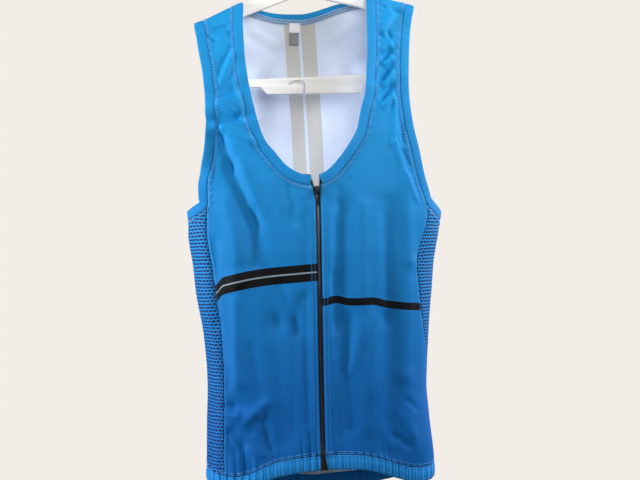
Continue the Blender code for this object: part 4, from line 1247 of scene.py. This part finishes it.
def roundedPlate(name, outline, holes, low, high, axis, materials, origin=None, chamfer=0.3):
    loops = [list(outline)] + [list(h) for h in holes]
    flat = [p for loop in loops for p in loop]
    lift = {"x": lambda p, t: (t, p[0], p[1]), "y": lambda p, t: (p[0], t, p[1])}[axis]
    points = [lift(p, low) for p in flat] + [lift(p, high) for p in flat]
    count = len(flat)
    triangles = tessellate_polygon([[(p[0], p[1], 0) for p in loop] for loop in loops])
    faces = [list(t) for t in triangles] + [[count + k for k in reversed(t)] for t in triangles]
    start = 0
    for loop in loops:
        ids = [start + k for k in range(len(loop))]
        for a, b in zip(ids, ids[1:] + ids[:1]):
            faces.append([a, b, count + b, count + a])
        start += len(loop)
    shift = np.zeros(3) if origin is None else np.asarray(origin, float)
    made = makeMesh(name, np.array(points, float) + shift, faces, materials, origin=origin)
    bevel = made.modifiers.new("edges", "BEVEL")
    bevel.width, bevel.segments, bevel.limit_method = chamfer * 0.001, 3, "ANGLE"
    bevel.angle_limit = math.radians(35)
    return made


slider = {
    "pinOut": 4.6,          # from the cloth's face to the pin
    "width": 7.2,
    "top": 307.0,
    "bottom": 317.5,
    "eye": 1.9,
    "hole": 1.1,
    "face": (-2.3, -1.1),   # y of the two plates, from the seat
    "rear": (2.9, 4.1),
    "lug": (1.35, 2.0),     # x of each lug, from the middle
    "lugHeight": (-316.4, -316.2, -312.9, -312.2, -312.0),
    "pin": (1.5, 0.5),      # half length and radius
}


def sliderFrame():
    # the slider sits where the frame has its pin
    hinge = frame["record"]["behaviour"]["joints"][0]
    pin = np.array(hinge["pos_m"], float) * 1000
    return pin + np.array([0, slider["pinOut"], 0]), pin


def sliderPieces():
    seat, pin = sliderFrame()
    x, y = float(seat[0]), float(seat[1])
    half = slider["width"] / 2
    top, bottom = -slider["top"], -slider["bottom"]
    # wings narrower at the bottom, where the closed chain leaves
    outline = [(x - half, top - 2.2), (x - half + 0.5, top - 0.5), (x - 1.2, top),
               (x + 1.2, top), (x + half - 0.5, top - 0.5), (x + half, top - 2.2),
               (x + half - 0.3, bottom + 2.0), (x + half - 1.0, bottom),
               (x - half + 1.0, bottom), (x - half + 0.3, bottom + 2.0)]
    plates = [roundedPlate("zip_slider_" + part, outline, [], y + slider[part][0],
                           y + slider[part][1], "y", [sliderZinc]) for part in ("face", "rear")]
    foot, low, high, shoulder, crown = slider["lugHeight"]
    lug = [(pin[1] - 0.5, low), (pin[1] - 0.5, high), (pin[1] + 0.2, shoulder),
           (y - 2.2, crown), (y - 2.2, foot), (pin[1] + 0.2, foot)]
    for side, sign in signs.items():
        reach = sorted(x + sign * part for part in slider["lug"])
        plates.append(roundedPlate("zip_slider_lug_" + side[0], lug, [], *reach, "x",
                                   [sliderZinc], chamfer=0.12))
    turn = np.linspace(0, 2 * math.pi, 12, endpoint=False)
    half, radius = slider["pin"]
    rod = [np.stack([np.full(12, end), pin[1] + radius * np.cos(turn),
                     pin[2] + radius * np.sin(turn)], -1) for end in (x - half, x + half)]
    plates.append(sweep("zip_slider_pin", np.stack(rod), [sliderZinc]))
    return plates


for number, piece in enumerate(sliderPieces()):
    if number == 0:
        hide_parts("zip_slider")
    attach(piece, "garment")


def pullTab():
    pin = sliderFrame()[1]
    around = lambda size, angles: [(slider[size] * math.sin(math.radians(a)),
                                    slider[size] * math.cos(math.radians(a))) for a in angles]
    tab = zipper["tab"]
    outline = around("eye", range(-150, 151, 10)) + [
        (0.75, -3.2), (0.75, -tab + 0.4), (0.45, -tab), (-0.45, -tab),
        (-0.75, -tab + 0.4), (-0.75, -3.2)]
    eye = around("hole", range(0, 360, 15))
    made = roundedPlate("zip_pull_tab", outline, [eye], -0.95, 0.95, "x", [sliderZinc],
                        origin=pin, chamfer=0.18)
    for vertex in made.data.vertices:
        if vertex.co.z < -0.0034:
            # waisted below the eye, broad and round at the foot
            t = (-vertex.co.z * 1000 - 3.4) / (tab - 3.4)
            vertex.co.x *= 2.0 + 0.42 * math.sin(math.pi * min(1, max(0, t)))
    return made


made = pullTab()
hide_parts("zip_pull")
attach(made, "zip_pull")


def zipStitches():
    # rows that hold the tape, and short ones across the binding's ends
    paths = []
    top = zipper["top"]
    for side, sign in signs.items():
        drop = np.linspace(top + 13, zipper["sewn"], 240)
        for across in stitching["tape"]:
            paths += stitchRow(besideZip(side, across, drop), levelToQ(drop),
                               stitching["row"], 0.28)
        drop = np.linspace(top + 1.5, top + 12, 12)
        for across in stitching["tack"]:
            theta = place(sign * (across + float(flare(side, top))), drop)[0]
            paths += stitchRow(theta, levelToQ(drop), 2.2, 1.25)
    seamThreads("zip_stitch", paths, tonalThread, 0.2)


zipStitches()
print("zip done")


# labels

labels = {"gap": 0.5, "thick": 0.4, "grid": 14}


def labelPiece(name, left, right, top, bottom, cloth):
    xs, drops = (np.linspace(*ends, labels["grid"]) for ends in ((left, right), (top, bottom)))
    theta, q = place(*np.meshgrid(xs, drops), back=True)
    return clothPanel(name, theta, q, [cloth, cloth, cloth],
                      -body["wall"] - labels["gap"], labels["thick"])


for name, box, cloth in (
        ("neck_label", (-21.5, -7.2, 97, 108.6), whiteSatin),
        ("care_label", (-21.5, -9.2, 109.1, 124), greySatin)):
    made = labelPiece(name + "_ribbon", *box, cloth)
    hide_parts(name)
    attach(made, "garment")


# hanger

hanger = {
    "tilt": (0.048, 0.016),     # slopes of the bar's upper and lower edges
    "bar": (168.6, 189.0),      # and their drops at the middle
    "arms": 179.0,              # drop of the arms' lower edge
    "thick": 7.0,
    "wire": 2.5,
    "hookRadius": 20.5,
    "hookDrop": 18.0,
}


def rounded(corners, steps=10):
    outline = []
    for i, (x, z, radius) in enumerate(corners):
        here = np.array([x, z], float)
        before = unit(np.array(corners[i - 1][:2], float) - here)
        after = unit(np.array(corners[(i + 1) % len(corners)][:2], float) - here)
        if radius == 0:
            outline.append(tuple(here))
            continue
        half = math.acos(float(np.clip(before @ after, -1, 1))) / 2
        reach = radius / math.tan(half)
        centre = here + unit(before + after) * radius / math.sin(half)
        first, last = here + before * reach - centre, here + after * reach - centre
        turn = math.acos(float(np.clip(unit(first) @ unit(last), -1, 1)))
        for k in range(steps + 1):
            t = k / steps
            mix = (first * math.sin((1 - t) * turn) + last * math.sin(t * turn)) / math.sin(turn)
            outline.append(tuple(centre + mix))
    return outline


def hangerPiece():
    slopes, (bar, foot), arms = hanger["tilt"], hanger["bar"], hanger["arms"]
    tilt = lambda drop: slopes[1] + (slopes[0] - slopes[1]) * (foot - drop) / (foot - bar)
    low = lambda x, drop: -(drop - tilt(drop) * x)
    top = lambda x: -(float(ridge(x)) + 2.6)
    radius, wire, centre = hanger["hookRadius"], hanger["wire"], -hanger["hookDrop"]
    arc = lambda a, r: (-r * math.cos(math.radians(90 - a)),
                        centre + r * math.sin(math.radians(90 - a)))
    outer = [arc(a, radius + wire) for a in range(-70, 171, 6)]
    inner = [arc(a, radius - wire) for a in range(-70, 156, 6)]
    stem = [(-5.5, -41.0), (-7, -44.2), (-10, -47.5), (-15, -50.5), (-22, top(-22))]
    leftArm = [(x, top(x)) for x in (-30, -40, -50, -60, -69, -78, -88, -98, -110)]
    # corners as x, drop at the middle (or None on the arm's top) and radius
    corner = lambda x, drop, radius: (x, top(x) if drop is None else low(x, drop), radius)
    tipLeft = rounded([corner(*c) for c in (
        (-110, None, 0), (-119, None, 7), (-119, arms, 8), (-60, arms, 4), (-52, foot, 6),
        (-24, foot, 0))])[1:-1]
    slit = [(x, low(x, drop)) for x, drop in (
        (-8.6, foot), (-8.6, 181), (-9.6, 178.2), (-13, 176.2), (-19, 175.6), (-26.2, 178),
        (-26.8, 175.2), (-21, 172.4), (-15, 171.4), (-9.5, 172.2), (-6.4, 175.2), (-5.6, 180),
        (-5.6, foot))]
    tipRight = rounded([corner(*c) for c in (
        (20, foot, 0), (66, foot, 3), (68, arms, 3), (116, arms, 8), (116, None, 7),
        (107, None, 0))])[1:-1]
    rightArm = [(x, top(x)) for x in (107, 99, 92, 82, 73, 64, 56, 46, 36, 27)]
    neck = [(18, top(18)), (12, -48.6), (8, -45.5), (5.5, -41.2)]
    path = outer + stem + leftArm + tipLeft + slit + tipRight + rightArm + neck + inner[::-1]
    hole = rounded([(-108, -(float(ridge(-108)) + 17), 9), (-8, -65, 30),
                    (105, -(float(ridge(105)) + 17), 9), (105, low(105, bar), 12),
                    (-108, low(-108, bar), 12)])
    half = hanger["thick"] / 2
    return roundedPlate("hanger_moulding", path, [hole], -half, half, "y", [polystyrene],
                        chamfer=0.9)


made = hangerPiece()
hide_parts("hanger")
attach(made, "garment")
print("hanger done")


# floor, light and camera

def areaLight(name, spot, aim, size, watts, code):
    data = bpy.data.lights.new(name, "AREA")
    data.shape, data.size, data.size_y = "RECTANGLE", size[0], size[1]
    data.energy, data.color = watts, hexToLinear(code)
    made = bpy.data.objects.new(name, data)
    made.location = spot
    made.rotation_euler = (Vector(aim) - Vector(spot)).to_track_quat("-Z", "Y").to_euler()
    bpy.context.scene.collection.objects.link(made)


floor = {"radius": 2.4, "height": -1.35}
lights = [  # name, place, aim, size, watts, colour: uneven sides bring the folds out
    ("top", (0.2, -1.1, 0.15), (0, 0, -0.25), (0.9, 0.6), 7, "FFFDF8"),
    ("left", (-1.4, -0.26, -0.2), (0, 0, -0.38), (0.2, 0.6), 23, "F6FAFF"),
    ("right", (1.25, -0.34, 0.4), (0, 0, -0.2), (0.2, 0.5), 18, "F6FAFF"),
    ("back left", (1.3, 0.5, 0.1), (0, 0, -0.35), (0.3, 0.7), 12, "FFFFFF"),
    ("back right", (-0.9, 1.3, 0.4), (0, 0, -0.3), (0.7, 0.7), 6, "FFFFFF"),
]
backdrop = "F2EDE7"


def setStage():
    mesh = bpy.data.meshes.new("floor")
    shape = bmesh.new()
    bmesh.ops.create_circle(shape, cap_ends=True, segments=96, radius=floor["radius"])
    shape.to_mesh(mesh)
    shape.free()
    # matt painted board, with a glow that keeps it as pale as the backdrop
    board, tree = emptyTree("painted board")
    finish(tree, add(tree, "ShaderNodeBsdfPrincipled", {
        "Base Color": rgba("8C8A86"), "Roughness": 0.9, "Emission Color": rgba(backdrop),
        "Emission Strength": 0.8}).outputs[0])
    mesh.materials.append(board)
    disc = bpy.data.objects.new("floor", mesh)
    disc.visible_diffuse = disc.visible_glossy = False
    disc.location = (0, 0, floor["height"])
    bpy.context.scene.collection.objects.link(disc)
    for light in lights:
        areaLight(*light)


def setWorld():
    world = bpy.data.worlds.new("studio")
    world.use_nodes = True
    tree = world.node_tree
    tree.nodes.clear()
    seen = add(tree, "ShaderNodeBackground", {"Color": rgba(backdrop), "Strength": 1.0})
    lit = add(tree, "ShaderNodeBackground", {"Color": rgba("F0F3F8"), "Strength": 0.2})
    ray = add(tree, "ShaderNodeLightPath")
    mix = add(tree, "ShaderNodeMixShader", {
        0: ray.outputs["Is Camera Ray"], 1: lit.outputs[0], 2: seen.outputs[0]})
    add(tree, "ShaderNodeOutputWorld", {"Surface": mix.outputs[0]})
    bpy.context.scene.world = world


view = {"turn": -9, "roll": -1.24, "away": 1.2, "aside": 0.0094, "height": -0.372, "lens": 54}


def setCamera():
    turn = math.radians(view["turn"])
    data = bpy.data.cameras.new("camera")
    data.lens, data.sensor_width = view["lens"], 36
    made = bpy.data.objects.new("camera", data)
    made.location = (view["away"] * math.sin(turn) + view["aside"] * math.cos(turn),
                     -view["away"] * math.cos(turn) + view["aside"] * math.sin(turn),
                     view["height"])
    look = Matrix.Rotation(turn, 4, "Z") @ Matrix.Rotation(math.pi / 2, 4, "X")
    made.matrix_world = (Matrix.Translation(made.location) @ look
                         @ Matrix.Rotation(math.radians(view["roll"]), 4, "Z"))
    bpy.context.scene.collection.objects.link(made)
    bpy.context.scene.camera = made


setStage()
setWorld()
setCamera()
bpy.context.scene.view_settings.view_transform = "Standard"
